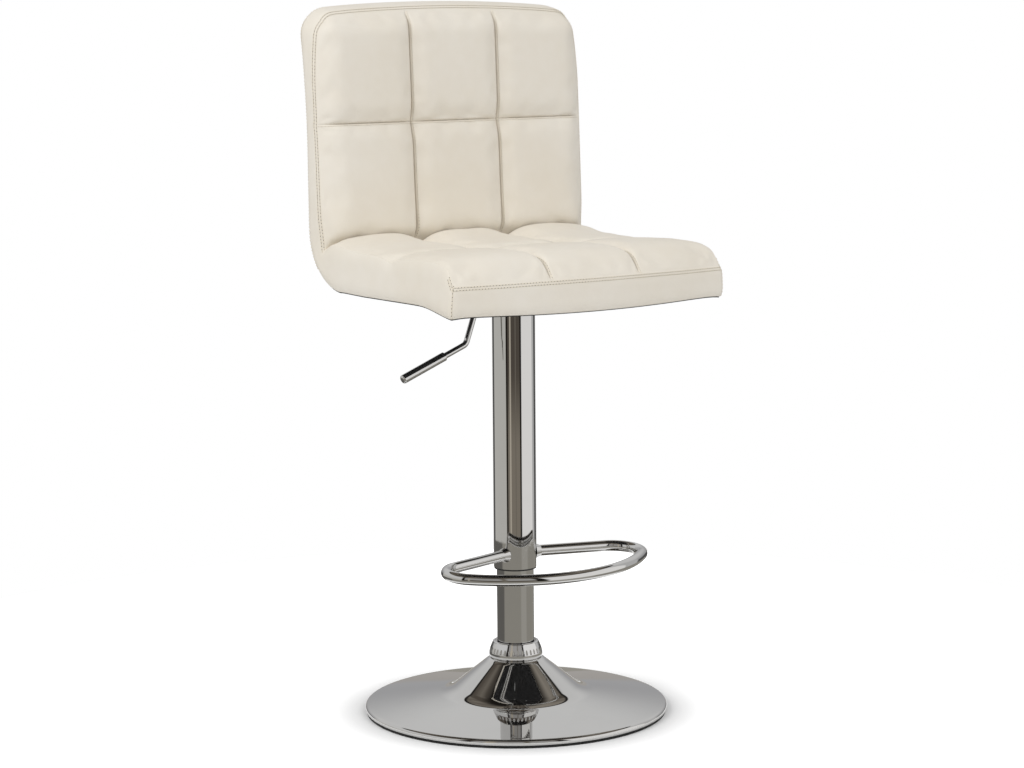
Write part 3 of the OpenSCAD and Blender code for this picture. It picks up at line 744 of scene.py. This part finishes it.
def pillow_heights():
    """How far the quilted face stands off its seams, for each column and row of the grid."""
    share, across, rows = spaced(), side_by_side(COLUMNS), side_by_side(ROWS)
    column = np.maximum(0, np.arange(len(across)) - 1) // PILLOW_CELLS
    edge = np.where(column == 0, 1 - 2 * across, np.where(column == COLUMNS - 1, 2 * across - 1, 0))
    edge = np.clip(edge, 0, 1)
    to_crease = pressed((1 - share) * CELL_SPAN, SEAT_RISE, REAR_SLOPE)
    from_crease = pressed(share * CELL_SPAN, BACK_RISE, BACK_SLOPE)
    near, far, crossed = share < 0.5, share > 0.5, shallow(share)
    at_front = np.where(near, rolled(share, FRONT_SHOULDER), crossed)
    along = np.concatenate([at_front, np.where(near, crossed, to_crease)[1:]])
    no_cross = np.concatenate([np.where(far, 1, at_front), np.where(near, 1, to_crease)[1:]])
    outer = np.where(column == 0, 1 - across, np.where(column == COLUMNS - 1, across, 0))
    body = lerp(SEAT_RISE, SIDE_RISE, smooth_step(edge / SIDE_FROM)[:, None])
    ends = lerp(along[None, :], no_cross[None, :], smooth_step(outer / CROSS_FADE)[:, None])
    side = 1 - (1 - SIDE_EDGE / SIDE_RISE) * edge**8
    row = np.arange(len(rows))
    to_row = np.minimum(rows, 1 - rows) * ROW_SPAN
    gather = np.where(row > ROWS_AT[2], GATHER_BACK, GATHER_SEAT)
    at_crease = (np.abs(row - ROWS_AT[2]) < PILLOW_CELLS / 2) * (1 - smooth_step(to_row / gather))
    aside = np.where(edge > 0, rolled(across, EDGE_SHOULDER), loft(across, WALL))[:, None]
    aside = lerp(aside, loft(across, GATHER_WALL, CREASE_SHOULDER)[:, None], at_crease[None, :])
    seat_rows = len(along)
    seat_aside = np.where(edge[:, None] > 0, side[:, None], aside[:, :seat_rows])
    seat = body * both(ends, seat_aside)
    at_top = np.where(far, rolled(share, EDGE_SHOULDER), crossed)
    back_ends = np.concatenate([np.where(near, from_crease, crossed)[1:], at_top[1:]])
    back = BACK_RISE * both(back_ends[None, :], aside[:, seat_rows:])

    # A pillow's four corners are drawn down a little more, where two seams cross
    to_column = np.minimum(across, 1 - across) * COLUMN_SPAN
    off = (to_column[:, None] ** 2 + to_row[None, :] ** 2) / CROSSING_R**2
    heights = np.concatenate([seat, back], 1) * (1 - CROSSING_DEPTH * np.exp(-off))
    crown = (1 - (2 * across - 1) ** 2)[:, None] * (1 - (2 * rows - 1) ** 2)[None, :]
    return heights * (1 + CROWN * crown), edge * np.sign(column - 1)


def pad():
    """The whole cushion's quilted face and outer face, as two grids of points."""
    line, normals = seam_line()
    seam_half = half_w - SEAM_INSET
    stops = (-seam_half, -COLUMN_SEAM, COLUMN_SEAM, seam_half)
    x = [lerp(start, end, spaced()[1:]) for start, end in zip(stops, stops[1:])]
    x = np.concatenate([stops[:1]] + x)
    X, F, Z = shaped(x, line, PANEL_FRONT_R, PANEL_TOP_R)
    height, edge = pillow_heights()
    row = np.arange(len(line))
    rise = np.clip(line[:, 1] - crease_z, 0, None) * (row > ROWS_AT[2])
    left = line[-1, 1] - line[:, 1]
    shift = SIDE_SWELL * smooth_step(rise / SWELL_RUN)
    shift = shift - TOP_TAPER * np.clip(1 - left / TAPER_RUN, 0, 1) ** 1.5
    ahead = np.clip(1 - row / ROWS_AT[1], 0, 1) ** 2
    X = X + np.sign(edge)[:, None] * (edge**4)[:, None] * (shift + FRONT_FLARE * ahead)
    F = F + normals[None, :, 0] * height
    Z = Z + normals[None, :, 1] * height
    inner = np.stack([X, -F, Z], 2)
    even = np.linspace(-1, 1, len(x))
    x_out = (half_w - OUTER_INSET) * (even + x / seam_half) / 2
    Xo, Fo, Zo = shaped(x_out, outer_line(), FRONT_R, TOP_R)
    share = (Xo / half_w) ** 2
    at_front = np.clip(1 - row / (ROWS_AT[1] * DROOP_SHARE), 0, 1)
    under_seat = np.clip((ROWS_AT[2] - 6 - row) / 8, 0, 1)
    Xo = Xo + FRONT_FLARE * np.sign(Xo) * share**4 * at_front**2
    Zo = Zo - FRONT_DROOP * (1 - share) * at_front**2 - SIDE_DROOP * share**8 * under_seat
    Zo = Zo - CORNER_DROOP * share**4 * at_front**2
    return inner, np.stack([Xo, -Fo, Zo], 2)


def perimeter(columns, rows):
    """Grid indices round the edge: front, left hand, top, right hand."""
    front = [(i, 0) for i in range(columns)]
    far = [(columns, j) for j in range(rows)]
    top = [(i, rows) for i in range(columns, 0, -1)]
    near = [(0, j) for j in range(rows, 0, -1)]
    return front + far + top + near


def smoothed(values, reach):
    """A running mean round a closed ring."""
    padded = np.concatenate([values[-reach:], values, values[:reach]])
    return np.convolve(padded, np.ones(2 * reach + 1) / (2 * reach + 1), "valid")


def edge_key(a, b):
    return min(a, b), max(a, b)


def build_pad():
    """One closed skin from the two faces and the border between them, and where its seams run."""
    inner, outer = pad()
    columns, rows = inner.shape[0] - 1, inner.shape[1] - 1
    loop = perimeter(columns, rows)
    ring = len(loop)
    start = np.array([inner[i, j] for i, j in loop])
    end = np.array([outer[i, j] for i, j in loop])
    tangent = np.roll(start + end, -2, 0) - np.roll(start + end, 2, 0)
    outward = unit(np.cross(end - start, tangent))
    if np.sum(outward * (start - start.mean(0))) < 0:
        outward = -outward
    edge_run = np.linalg.norm(end - start, axis=1)
    bulge = [{0: FRONT_BULGE, rows: TOP_BULGE}.get(j, SIDE_BULGE) for _, j in loop]
    bulge = smoothed(np.array(bulge), CORNER_CELLS)
    shares = [row / edge_run for row in STITCH_ROWS]
    shares += [lerp(shares[-1], 1, t) for t in np.linspace(0, 1, BORDER_CELLS + 1)[1:-1]]
    border = []
    for t in shares:
        loft_out = bulge * (1 - np.abs(2 * t - 1) ** 4)
        border.append(start + (end - start) * t[:, None] + outward * loft_out[:, None])
    points = np.concatenate([inner.reshape(-1, 3)] + border + [outer.reshape(-1, 3)])

    grid = (columns + 1) * (rows + 1)
    outer_at = grid + ring * len(border)

    def inner_id(i, j):
        return i * (rows + 1) + j

    faces = []
    for i in range(columns):
        for j in range(rows):
            quad = (inner_id(i, j), inner_id(i + 1, j), inner_id(i + 1, j + 1), inner_id(i, j + 1))
            faces.append(quad)
            faces.append(tuple(outer_at + v for v in reversed(quad)))
    rings = [[inner_id(i, j) for i, j in loop]]
    rings += [[grid + ring * k + n for n in range(ring)] for k in range(len(border))]
    rings.append([outer_at + inner_id(i, j) for i, j in loop])
    for upper, lower in zip(rings, rings[1:]):
        for n in range(ring):
            m = (n + 1) % ring
            faces.append((upper[n], lower[n], lower[m], upper[m]))

    # The seat's two sides have no seam on top, and its cross seam runs out before it gets there
    sides = (0, columns)
    plain = {n for n, (i, j) in enumerate(loop) if i in sides and CORNER_CELLS < j < ROWS_AT[2]}
    run_out = PILLOW_CELLS * 3 // 4
    long = [[inner_id(i, j) for j in range(rows + 1)] for i in (PILLOW_CELLS, 2 * PILLOW_CELLS)]
    cross = [[inner_id(i, ROWS_AT[1]) for i in range(run_out, columns - run_out + 1)]]
    cross += [[inner_id(i, j) for i in range(columns + 1)] for j in ROWS_AT[2:4]]
    corner = [[level[n] for level in rings] for n in (0, columns)]
    back_part = range(columns + ROWS_AT[2], ring - ROWS_AT[2] + 1)
    front_part = range(-CORNER_CELLS, columns + CORNER_CELLS + 1)
    quilting = [(line, rows + 1) for line in long] + [(cross[0], 1), (cross[2], -1)]
    edge_parts = (back_part, front_part)
    seams = {"quilting": quilting, "edge": edge_parts, "corner": corner, "rings": rings}

    cover = mesh_piece("quilted_cover", points, faces, "cream_leather")
    weight = {}
    pins = set(range(outer_at, outer_at + grid))
    for lines, value in ((long, 1.0), (cross, 1.0), (corner, CORNER_CREASE)):
        for line in lines:
            pins.update(line)
            for a, b in zip(line, line[1:]):
                weight[edge_key(a, b)] = value
    for part in edge_parts:
        for a, b in zip(part, part[1:]):
            weight[edge_key(rings[0][a % ring], rings[0][b % ring])] = EDGE_CREASE
    for n in range(ring):
        weight[edge_key(rings[-1][n], rings[-1][(n + 1) % ring])] = EDGE_CREASE
        pins.update(level[n] for level in rings[1:])
        if n not in plain:
            pins.add(rings[0][n])
    seam_columns = [PILLOW_CELLS * k for k in range(COLUMNS + 1)]
    for i in range(columns + 1):
        for j in range(rows + 1):
            by_column = min(abs(i - k) for k in seam_columns) <= SEWN_CELLS
            by_row = min(abs(j - k) for k in ROWS_AT) <= SEWN_CELLS
            if by_column or by_row:
                pins.add(inner_id(i, j))
    sharp = cover.data.attributes.new("crease_edge", "FLOAT", "EDGE")
    values = [weight.get(edge_key(*edge.vertices), 0.0) for edge in cover.data.edges]
    sharp.data.foreach_set("value", values)
    return cover, pins, seams


def vertex_places(piece):
    flat = np.empty(len(piece.data.vertices) * 3)
    piece.data.vertices.foreach_get("co", flat)
    return flat.reshape(-1, 3)


def put_vertices(piece, points):
    piece.data.vertices.foreach_set("co", points.ravel())
    piece.data.update()


CLOTH_FRAMES = 20
CLOTH_CAP = 2.5 * MM
CLOTH = {
    "quality": 6,
    "mass": 0.25,
    "tension_stiffness": 25,
    "compression_stiffness": 12,
    "shear_stiffness": 6,
    "bending_stiffness": 0.6,
    "use_pressure": True,
    "uniform_pressure_force": 4.0,
    "vertex_group_mass": "sewn",
    "shrink_min": -0.012,
}


def inflate(piece, pinned):
    """Lets the cover swell and settle between its seams as cloth, then keeps the result."""
    before = vertex_places(piece)
    group = piece.vertex_groups.new(name="sewn")
    group.add([int(v) for v in sorted(pinned)], 1.0, "REPLACE")
    cloth = piece.modifiers.new("swell", "CLOTH")
    for name, value in CLOTH.items():
        setattr(cloth.settings, name, value)
    cloth.settings.effector_weights.gravity = 0
    cloth.collision_settings.use_collision = False
    cloth.collision_settings.use_self_collision = False
    cloth.point_cache.frame_start = 1
    cloth.point_cache.frame_end = CLOTH_FRAMES
    scene = bpy.context.scene
    for number in range(1, CLOTH_FRAMES + 1):
        scene.frame_set(number)
    depsgraph = bpy.context.evaluated_depsgraph_get()
    solved = piece.evaluated_get(depsgraph)
    moved = vertex_places(solved) - before
    reach = np.linalg.norm(moved, axis=1, keepdims=True)
    moved *= np.minimum(1, CLOTH_CAP / np.maximum(reach, 1e-9))
    piece.modifiers.clear()
    piece.vertex_groups.clear()
    scene.frame_set(1)
    put_vertices(piece, before + moved)


def subdivide(piece, levels):
    modifier = piece.modifiers.new("finer", "SUBSURF")
    modifier.levels = levels
    modifier.render_levels = levels
    modifier.boundary_smooth = "ALL"
    depsgraph = bpy.context.evaluated_depsgraph_get()
    finer = bpy.data.meshes.new_from_object(piece.evaluated_get(depsgraph))
    piece.modifiers.clear()
    old = piece.data
    piece.data = finer
    finer.name = piece.name
    bpy.data.meshes.remove(old)
    finer.polygons.foreach_set("use_smooth", [True] * len(finer.polygons))


# ------------------------ stitches

STITCH_PITCH = 4.5 * MM
STITCH_GAP = 1.1 * MM
THREAD_R = 0.5 * MM
THREAD_LIFT = 0.4 * MM
HOLE_R = 0.6 * MM
FINE_THREAD_R = 0.35 * MM
FINE_LIFT = 0.15 * MM
FINE_HOLE_R = 0.45 * MM
THREAD_STATIONS = (0, 0.2, 0.5, 0.8, 1)
THREAD_SWELL = (0.35, 0.9, 1.0, 0.9, 0.35)
THREAD_DIP = 0.35 * MM
THREAD_SIDES = 6


def stitch_line(points, normals, pitch=STITCH_PITCH):
    """Stitches along a line of points: for each, its middle line and the normal of the surface."""
    run = run_along(points)
    count = max(1, int(round(run[-1] / pitch)))
    step = run[-1] / count
    stitches = []
    for k in range(count):
        a, b = k * step + STITCH_GAP / 2, (k + 1) * step - STITCH_GAP / 2
        wanted = [lerp(a, b, t) for t in THREAD_STATIONS]
        facing = unit(points_at(wanted, run, normals))
        stitches.append(list(zip(points_at(wanted, run, points), facing)))
    return stitches


def thread_piece(name, stitches, radius=THREAD_R, lift=THREAD_LIFT, finish="thread"):
    """All stitches of one seam as short, plump lengths of thread that dip in at both ends."""
    flank, top = 0.1 * MM + lift * 0.6, 0.1 * MM + lift
    heights = (-THREAD_DIP, flank, top, flank, -THREAD_DIP)
    sides = THREAD_SIDES
    points, faces = [], []
    for stitch in stitches:
        base = len(points)
        along = unit(stitch[-1][0] - stitch[0][0])
        for (place, normal), size, height in zip(stitch, THREAD_SWELL, heights):
            side = unit(np.cross(along, normal))
            points += circle(place + normal * height, side, normal, radius * size)
        last = len(points) - sides
        for ring in range(base, last, sides):
            for s in range(sides):
                a, b = ring + s, ring + (s + 1) % sides
                faces.append((a, b, b + sides, a + sides))
        faces.append(tuple(base + s for s in reversed(range(sides))))
        faces.append(tuple(last + s for s in range(sides)))
    return mesh_piece(name, points, faces, finish)


def hole_shade_piece(name, stitches, radius=HOLE_R):
    """The needle holes at the stitches' ends: small dark dimples just proud of the cover, their
    darkness painted shade for the holes.
    """
    sides = THREAD_SIDES
    points, faces = [], []
    for stitch in stitches:
        along = unit(stitch[-1][0] - stitch[0][0])
        place, normal = stitch[0]
        centre = place - along * STITCH_GAP / 2
        side = unit(np.cross(along, normal))
        base = len(points)
        points += circle(centre + normal * 0.02 * MM, side, along, radius)
        points += [centre + normal * 0.12 * MM, centre - normal * 0.4 * MM]
        for s in range(sides):
            after = (s + 1) % sides
            faces.append((base + s, base + after, base + sides))
            faces.append((base + after, base + s, base + sides + 1))
    return mesh_piece(name, points, faces, "painted_hole_shade")


def vertex_normals(places, quads):
    """Outward normals of the cover's vertices, before it is made finer."""
    total = np.zeros_like(places)
    a, b, c, d = (places[quads[:, k]] for k in range(4))
    normal = np.cross(c - a, d - b)
    for k in range(4):
        np.add.at(total, quads[:, k], normal)
    return unit(total)


def sew(places, normals, seams):
    """Stitches of the quilting, and of the borders' double seam with the two front corners."""
    rings = seams["rings"]
    quilting, border = [], []
    for line, step in seams["quilting"]:
        beside = np.array(line) + SEWN_CELLS * step
        quilting += stitch_line(places[beside], normals[beside])
    levels = [(part, level) for part in seams["edge"] for level in rings[1:3]]
    lines = [[level[n % len(level)] for n in part] for part, level in levels]
    lines += seams["corner"]
    lines.append([rings[-2][n % len(rings[-2])] for n in seams["edge"][0]])
    for line in lines:
        border += stitch_line(places[line], normals[line])
    return quilting, border


def lining():
    """Black cloth stapled under the seat. Its rim is a thin line along the seat's edge."""
    under = pad()[1]
    under = under[:, -under[under.shape[0] // 2, :, 1] > heel_f - LINING_PAST_HEEL]
    wide, deep = under.shape[0] - 1, under.shape[1] - 1
    top, bottom = [], []
    rng = np.random.default_rng(7)
    waves = rng.uniform(0, 2 * math.pi, 6)
    for i in range(wide + 1):
        for j in range(deep + 1):
            x, y, z = under[i, j] if j else lerp(under[i, 0], under[i, 1], 0.5)
            x *= 1 - LINING_INSET / half_w
            u, v = x / half_w, j / deep
            turns = [w + (k + 2) * 3.1 * u + (k % 3) * 4.3 * v for k, w in enumerate(waves)]
            fold = sum(math.sin(turn) for turn in turns)
            free = min(1, 6 * (1 - abs(u)), 6 * v, 6 * (1 - v))
            rim = max(0, 1 - RIM_SHARE * (1 - abs(u)), 1 - RIM_SHARE * v)
            top.append((x, y, z - 0.05 * MM))
            slack = (0.35 + 0.25 * free * (1 + fold / 6)) * MM
            bottom.append((x, y, z - slack - LINING_RIM * rim))
    count = len(top)
    faces = []
    for i in range(wide):
        for j in range(deep):
            a = i * (deep + 1) + j
            quad = (a, a + deep + 1, a + deep + 2, a + 1)
            faces.append(quad)
            faces.append(tuple(count + k for k in reversed(quad)))
    rim = [i * (deep + 1) + j for i, j in perimeter(wide, deep)]
    for a, b in zip(rim, rim[1:] + rim[:1]):
        faces.append((a, count + a, count + b, b))
    sheet = mesh_piece("underside_lining", top + bottom, faces, "black_lining")
    low = np.array(bottom).reshape(wide + 1, deep + 1, 3)
    held_at = np.clip(perimeter(wide, deep), STAPLE_CELLS, np.array([wide, deep]) - STAPLE_CELLS)
    edge = low[held_at[:, 0], held_at[:, 1]]
    edge = np.concatenate([edge, edge[:1]])
    down = np.tile([0.0, 0.0, -1.0], (len(edge), 1))
    staples = []
    for gap in stitch_line(edge, down, STAPLE_PITCH):
        middle, along = gap[2][0], unit(gap[-1][0] - gap[0][0])
        staples.append([(middle + along * reach * MM, down[0]) for reach in (-5, -4.6, 0, 4.6, 5)])
    pins = thread_piece("lining_staples", staples, STAPLE_R, 0.1 * MM, "steel")
    down_middle = float(np.linalg.norm(np.diff(low[wide // 2], axis=0), axis=1).sum())
    one_face = sum(polygon.area for polygon in sheet.data.polygons) / 2
    return sheet, pins, (float(np.ptp(low[:, :, 0])), down_middle), one_face


def upholstery():
    cover, pins, seams = build_pad()
    quads = np.array([list(p.vertices) for p in cover.data.polygons])
    inflate(cover, pins)
    places = vertex_places(cover)
    quilting, border = sew(places, vertex_normals(places, quads), seams)
    subdivide(cover, 2)
    rests(
        cover,
        "cream_leather",
        "quilted_panel",
        "side_border",
        "front_border",
        "rear_cover",
        "seat_foam",
        "back_foam",
    )
    rests(thread_piece("quilting_thread", quilting, FINE_THREAD_R, FINE_LIFT), "cream_leather")
    # Dark discs at the stitch ends, here and on the border: painted shade for the needle holes.
    rests(hole_shade_piece("quilting_painted_hole_shade", quilting, FINE_HOLE_R), "cream_leather")
    rests(thread_piece("border_thread", border), "cream_leather")
    rests(hole_shade_piece("border_painted_hole_shade", border), "cream_leather")
    sheet, staples, cut, area = lining()
    rests(sheet, "black_lining", "underside_cover")
    rests(staples, "steel")


# ------------------------ stage, light and camera

FLOOR_R = 1.1
VIEW_YAW = math.radians(34.951)
VIEW_PITCH = math.radians(7.943)
VIEW_ROLL = math.radians(-0.411)
VIEW_DISTANCE = 3.6679
VIEW_HEIGHT = 0.9575
VIEW_SHIFT = -0.00187
LENS = 97.34
SENSOR = 36.0
LAMP_SIZE = 2.0
LAMP_AIM = Vector((0, 0, 0.6))

to_camera = Vector((-math.sin(VIEW_YAW), -math.cos(VIEW_YAW), 0))
view_right = Vector((math.cos(VIEW_YAW), -math.sin(VIEW_YAW), 0))


def seen_rays(tree):
    """1 for the rays that look at the white background: direct, off metal or through glass."""
    kinds = tuple(f"Is {kind} Ray" for kind in ("Camera", "Glossy", "Transmission"))
    direct, glossy, through = tree.add("ShaderNodeLightPath", out=kinds)
    seen = direct + glossy + through
    return seen.math("MINIMUM", 1, seen)


def stage_piece(name, points, faces, material):
    mesh = bpy.data.meshes.new(name)
    mesh.from_pydata(points, [], faces)
    mesh.materials.append(material)
    piece = placed(name, mesh)
    return piece


def disc_rings(radii, height, count=96):
    """Points and faces of a flat ring between two radii."""
    turns = [2 * math.pi * k / count for k in range(count)]
    points = [(r * math.cos(t), r * math.sin(t), height) for r in radii for t in turns]
    faces = [(k, (k + 1) % count, count + (k + 1) % count, count + k) for k in range(count)]
    return points, faces


def floor():
    """White paper under the stool. It keeps the shadow, and is white to the eye away from it; near
    the base its glow fades out, a painted shadow round the base.
    """
    material, tree = new_material("paper_floor")
    distance = tree.distance()
    paper = tree.mix(tree.noise(tree.place(), 260.0, 4), grey(0.86), grey(0.89))
    diffuse = tree.add("ShaderNodeBsdfDiffuse", None, {"Color": paper})
    # Painted shadow: the glow is cut back close to the base, so a grey ring round it shows darker
    # than the lamps alone make it.
    glow_with_painted_shadow = seen_rays(tree) * (0.3 * distance.step(0.2, 0.26) + 0.5 * distance.step(0.22, 0.55))
    glow = tree.glow(tree.mix(glow_with_painted_shadow, grey(0), grey(1)))
    tree.show(tree.add("ShaderNodeAddShader", None, {0: diffuse, 1: glow}))
    points, faces = disc_rings((0.001, FLOOR_R), 0)
    stage_piece("floor", points, faces, material)


def white_room():
    """White wherever the camera or the metal looks past the cards, and even light for all else."""
    world = bpy.data.worlds.new("white_room")
    bpy.context.scene.world = world
    tree = Tree(world)
    direction = tree.add("ShaderNodeTexCoord", out="Generated")
    up = tree.axes(direction)[2]
    soft = tree.mix(up.step(-0.3, 0.3), grey(0.52), grey(0.63))
    colour = tree.mix(seen_rays(tree), soft, grey(1))
    tree.show(tree.add("ShaderNodeBackground", None, {"Color": colour, "Strength": 1.0}), "World")


def bearing(tree, direction):
    """Degrees round the stool, from the viewing side toward its right."""
    axes = (to_camera, view_right)
    toward, right = (tree.vectors("DOT_PRODUCT", direction, axis) for axis in axes)
    return right.math("ARCTAN2", right, toward) * (180 / math.pi)


def card_colours(tree):
    """What hangs round the stool: white and grey cards, a dark gap in front, a dark ceiling."""
    direction = tree.vectors("NORMALIZE", tree.place(), out="Vector")
    up = tree.axes(direction)[2]
    side = bearing(tree, direction)

    def card(start, end, soft=2.0):
        return side.step(start - soft, start + soft) * (1 - side.step(end - soft, end + soft))

    flags = tree.mix(side.absolute().step(156, 164), grey(0.10), (0.42, 0.40, 0.38))
    flags = tree.mix(up.step(0.0, 0.05), flags, (0.42, 0.42, 0.43))
    far = tree.mix(up.step(0.08, 0.45), flags, grey(0.74))
    gap = tree.mix(up.step(-0.17, -0.12), (0.26, 0.23, 0.19), (0.10, 0.085, 0.07))
    gap = tree.mix(up.step(0.02, 0.12), gap, (0.42, 0.41, 0.40))
    left = tree.mix(up.step(0.0, 0.3), (0.62, 0.61, 0.58), grey(0.76))
    room = tree.mix(card(-132, -40), far, left)
    room = tree.mix(card(-44, 38), room, gap)
    room = tree.mix(card(-42, -34, 1.0), room, (0.012, 0.010, 0.008))
    room = tree.mix(card(-24, -16, 1.5), room, (0.55, 0.50, 0.42))
    room = tree.mix(card(6, 10), room, (0.20, 0.18, 0.15))
    room = tree.mix(card(31, 38, 1.0), room, (0.012, 0.010, 0.008))
    room = tree.mix(card(40, 112), room, (1.0, 0.99, 0.98))
    room = tree.mix(card(112, 130), room, grey(0.6))
    over = up + side.absolute().step(125, 180) * 0.08
    drapes = tree.noise(tree.scaled(direction, (3.0, 3.0, 1.5)), 1.0, 2).step(0.35, 0.65)
    ceiling = tree.mix(drapes, (0.30, 0.27, 0.23), (0.10, 0.085, 0.07))
    ceiling = tree.mix(over.step(0.82, 0.92), ceiling, (0.015, 0.013, 0.011))
    edge = over.step(0.655, 0.665) * (1 - over.step(0.68, 0.71))
    ceiling = tree.mix(edge, ceiling, (0.02, 0.02, 0.018))
    return tree.mix(over.step(0.65, 0.665), room, ceiling)


def cards():
    """The cards as a dome, and a grey ring of floor cloth, both seen in the metal alone."""
    material, tree = new_material("studio_cards")
    tree.show(tree.glow(card_colours(tree)))
    around, upward, reach = 120, 60, 8.0
    points, faces = [], []
    for j in range(upward + 1):
        rise = math.radians(lerp(-30, 90, j / upward))
        for k in range(around):
            turn = 2 * math.pi * k / around
            flat = reach * max(math.cos(rise), 1e-4)
            points.append((flat * math.cos(turn), flat * math.sin(turn), reach * math.sin(rise)))
    for j in range(upward):
        for k in range(around):
            here, there = j * around + k, j * around + (k + 1) % around
            faces.append((here, there, there + around, here + around))
    dome = stage_piece("studio_cards", points, faces, material)
    dome.location = (0, 0, 0.4)

    cloth, tree = new_material("floor_cloth")
    side = bearing(tree, tree.place())
    behind = side.step(-160, -150) * (1 - side.step(-78, -66))
    ahead = side.step(30, 40) * (1 - side.step(66, 76))
    edge = side.absolute().step(146, 150) * (1 - side.absolute().step(156, 164))
    shade = tree.mix(behind, (0.34, 0.325, 0.29), (0.15, 0.145, 0.135))
    shade = tree.mix(ahead, shade, (0.42, 0.405, 0.37))
    shade = tree.mix(edge, shade, grey(0.03))
    shade = tree.mix(tree.distance().step(0.31, 0.39), grey(0.95), shade)
    tree.show(tree.glow(shade))
    points, faces = disc_rings((0.30, FLOOR_R + 0.1), 1 * MM)
    ring = stage_piece("floor_cloth", points, faces, cloth)
    for piece in (dome, ring):
        piece.visible_camera = False
        piece.visible_diffuse = False
        piece.visible_shadow = False
        piece.visible_volume_scatter = False


def area_light(name, place, power):
    data = bpy.data.lights.new(name, "AREA")
    data.shape = "RECTANGLE"
    data.size = data.size_y = LAMP_SIZE
    data.energy = power
    lamp = placed(name, data)
    lamp.location = place
    aim = LAMP_AIM - place
    lamp.rotation_euler = aim.to_track_quat("-Z", "Y").to_euler()
    lamp.visible_glossy = False


def lights():
    """Soft lamps that stay out of the metal: a key from the near left, a fill from the right."""
    key = to_camera * 2.4 - view_right * 2.6 + Vector((0, 0, 2.9))
    fill = to_camera * 2.8 + view_right * 2.0 + Vector((0, 0, 3.0))
    area_light("key", key, 66)
    area_light("fill", fill, 41)


def camera():
    data = bpy.data.cameras.new("view")
    data.lens = LENS
    data.sensor_width = SENSOR
    data.shift_x = VIEW_SHIFT
    eye = placed("view", data)
    place = to_camera * VIEW_DISTANCE + Vector((0, 0, VIEW_HEIGHT))
    eye.matrix_world = (
        Matrix.Translation(place)
        @ Matrix.Rotation(-VIEW_YAW, 4, "Z")
        @ Matrix.Rotation(math.pi / 2 - VIEW_PITCH, 4, "X")
        @ Matrix.Rotation(VIEW_ROLL, 4, "Z")
    )
    bpy.context.scene.camera = eye


camera()
upholstery()
trumpet_base()
for part in frame["record"]["subparts"]:
    node = frame["nodes"][part["node"]]
    if not node.hide_render:
        dress(node, part["material_slot"])
floor()
white_room()
cards()
lights()
bpy.context.scene.view_settings.view_transform = "Standard"
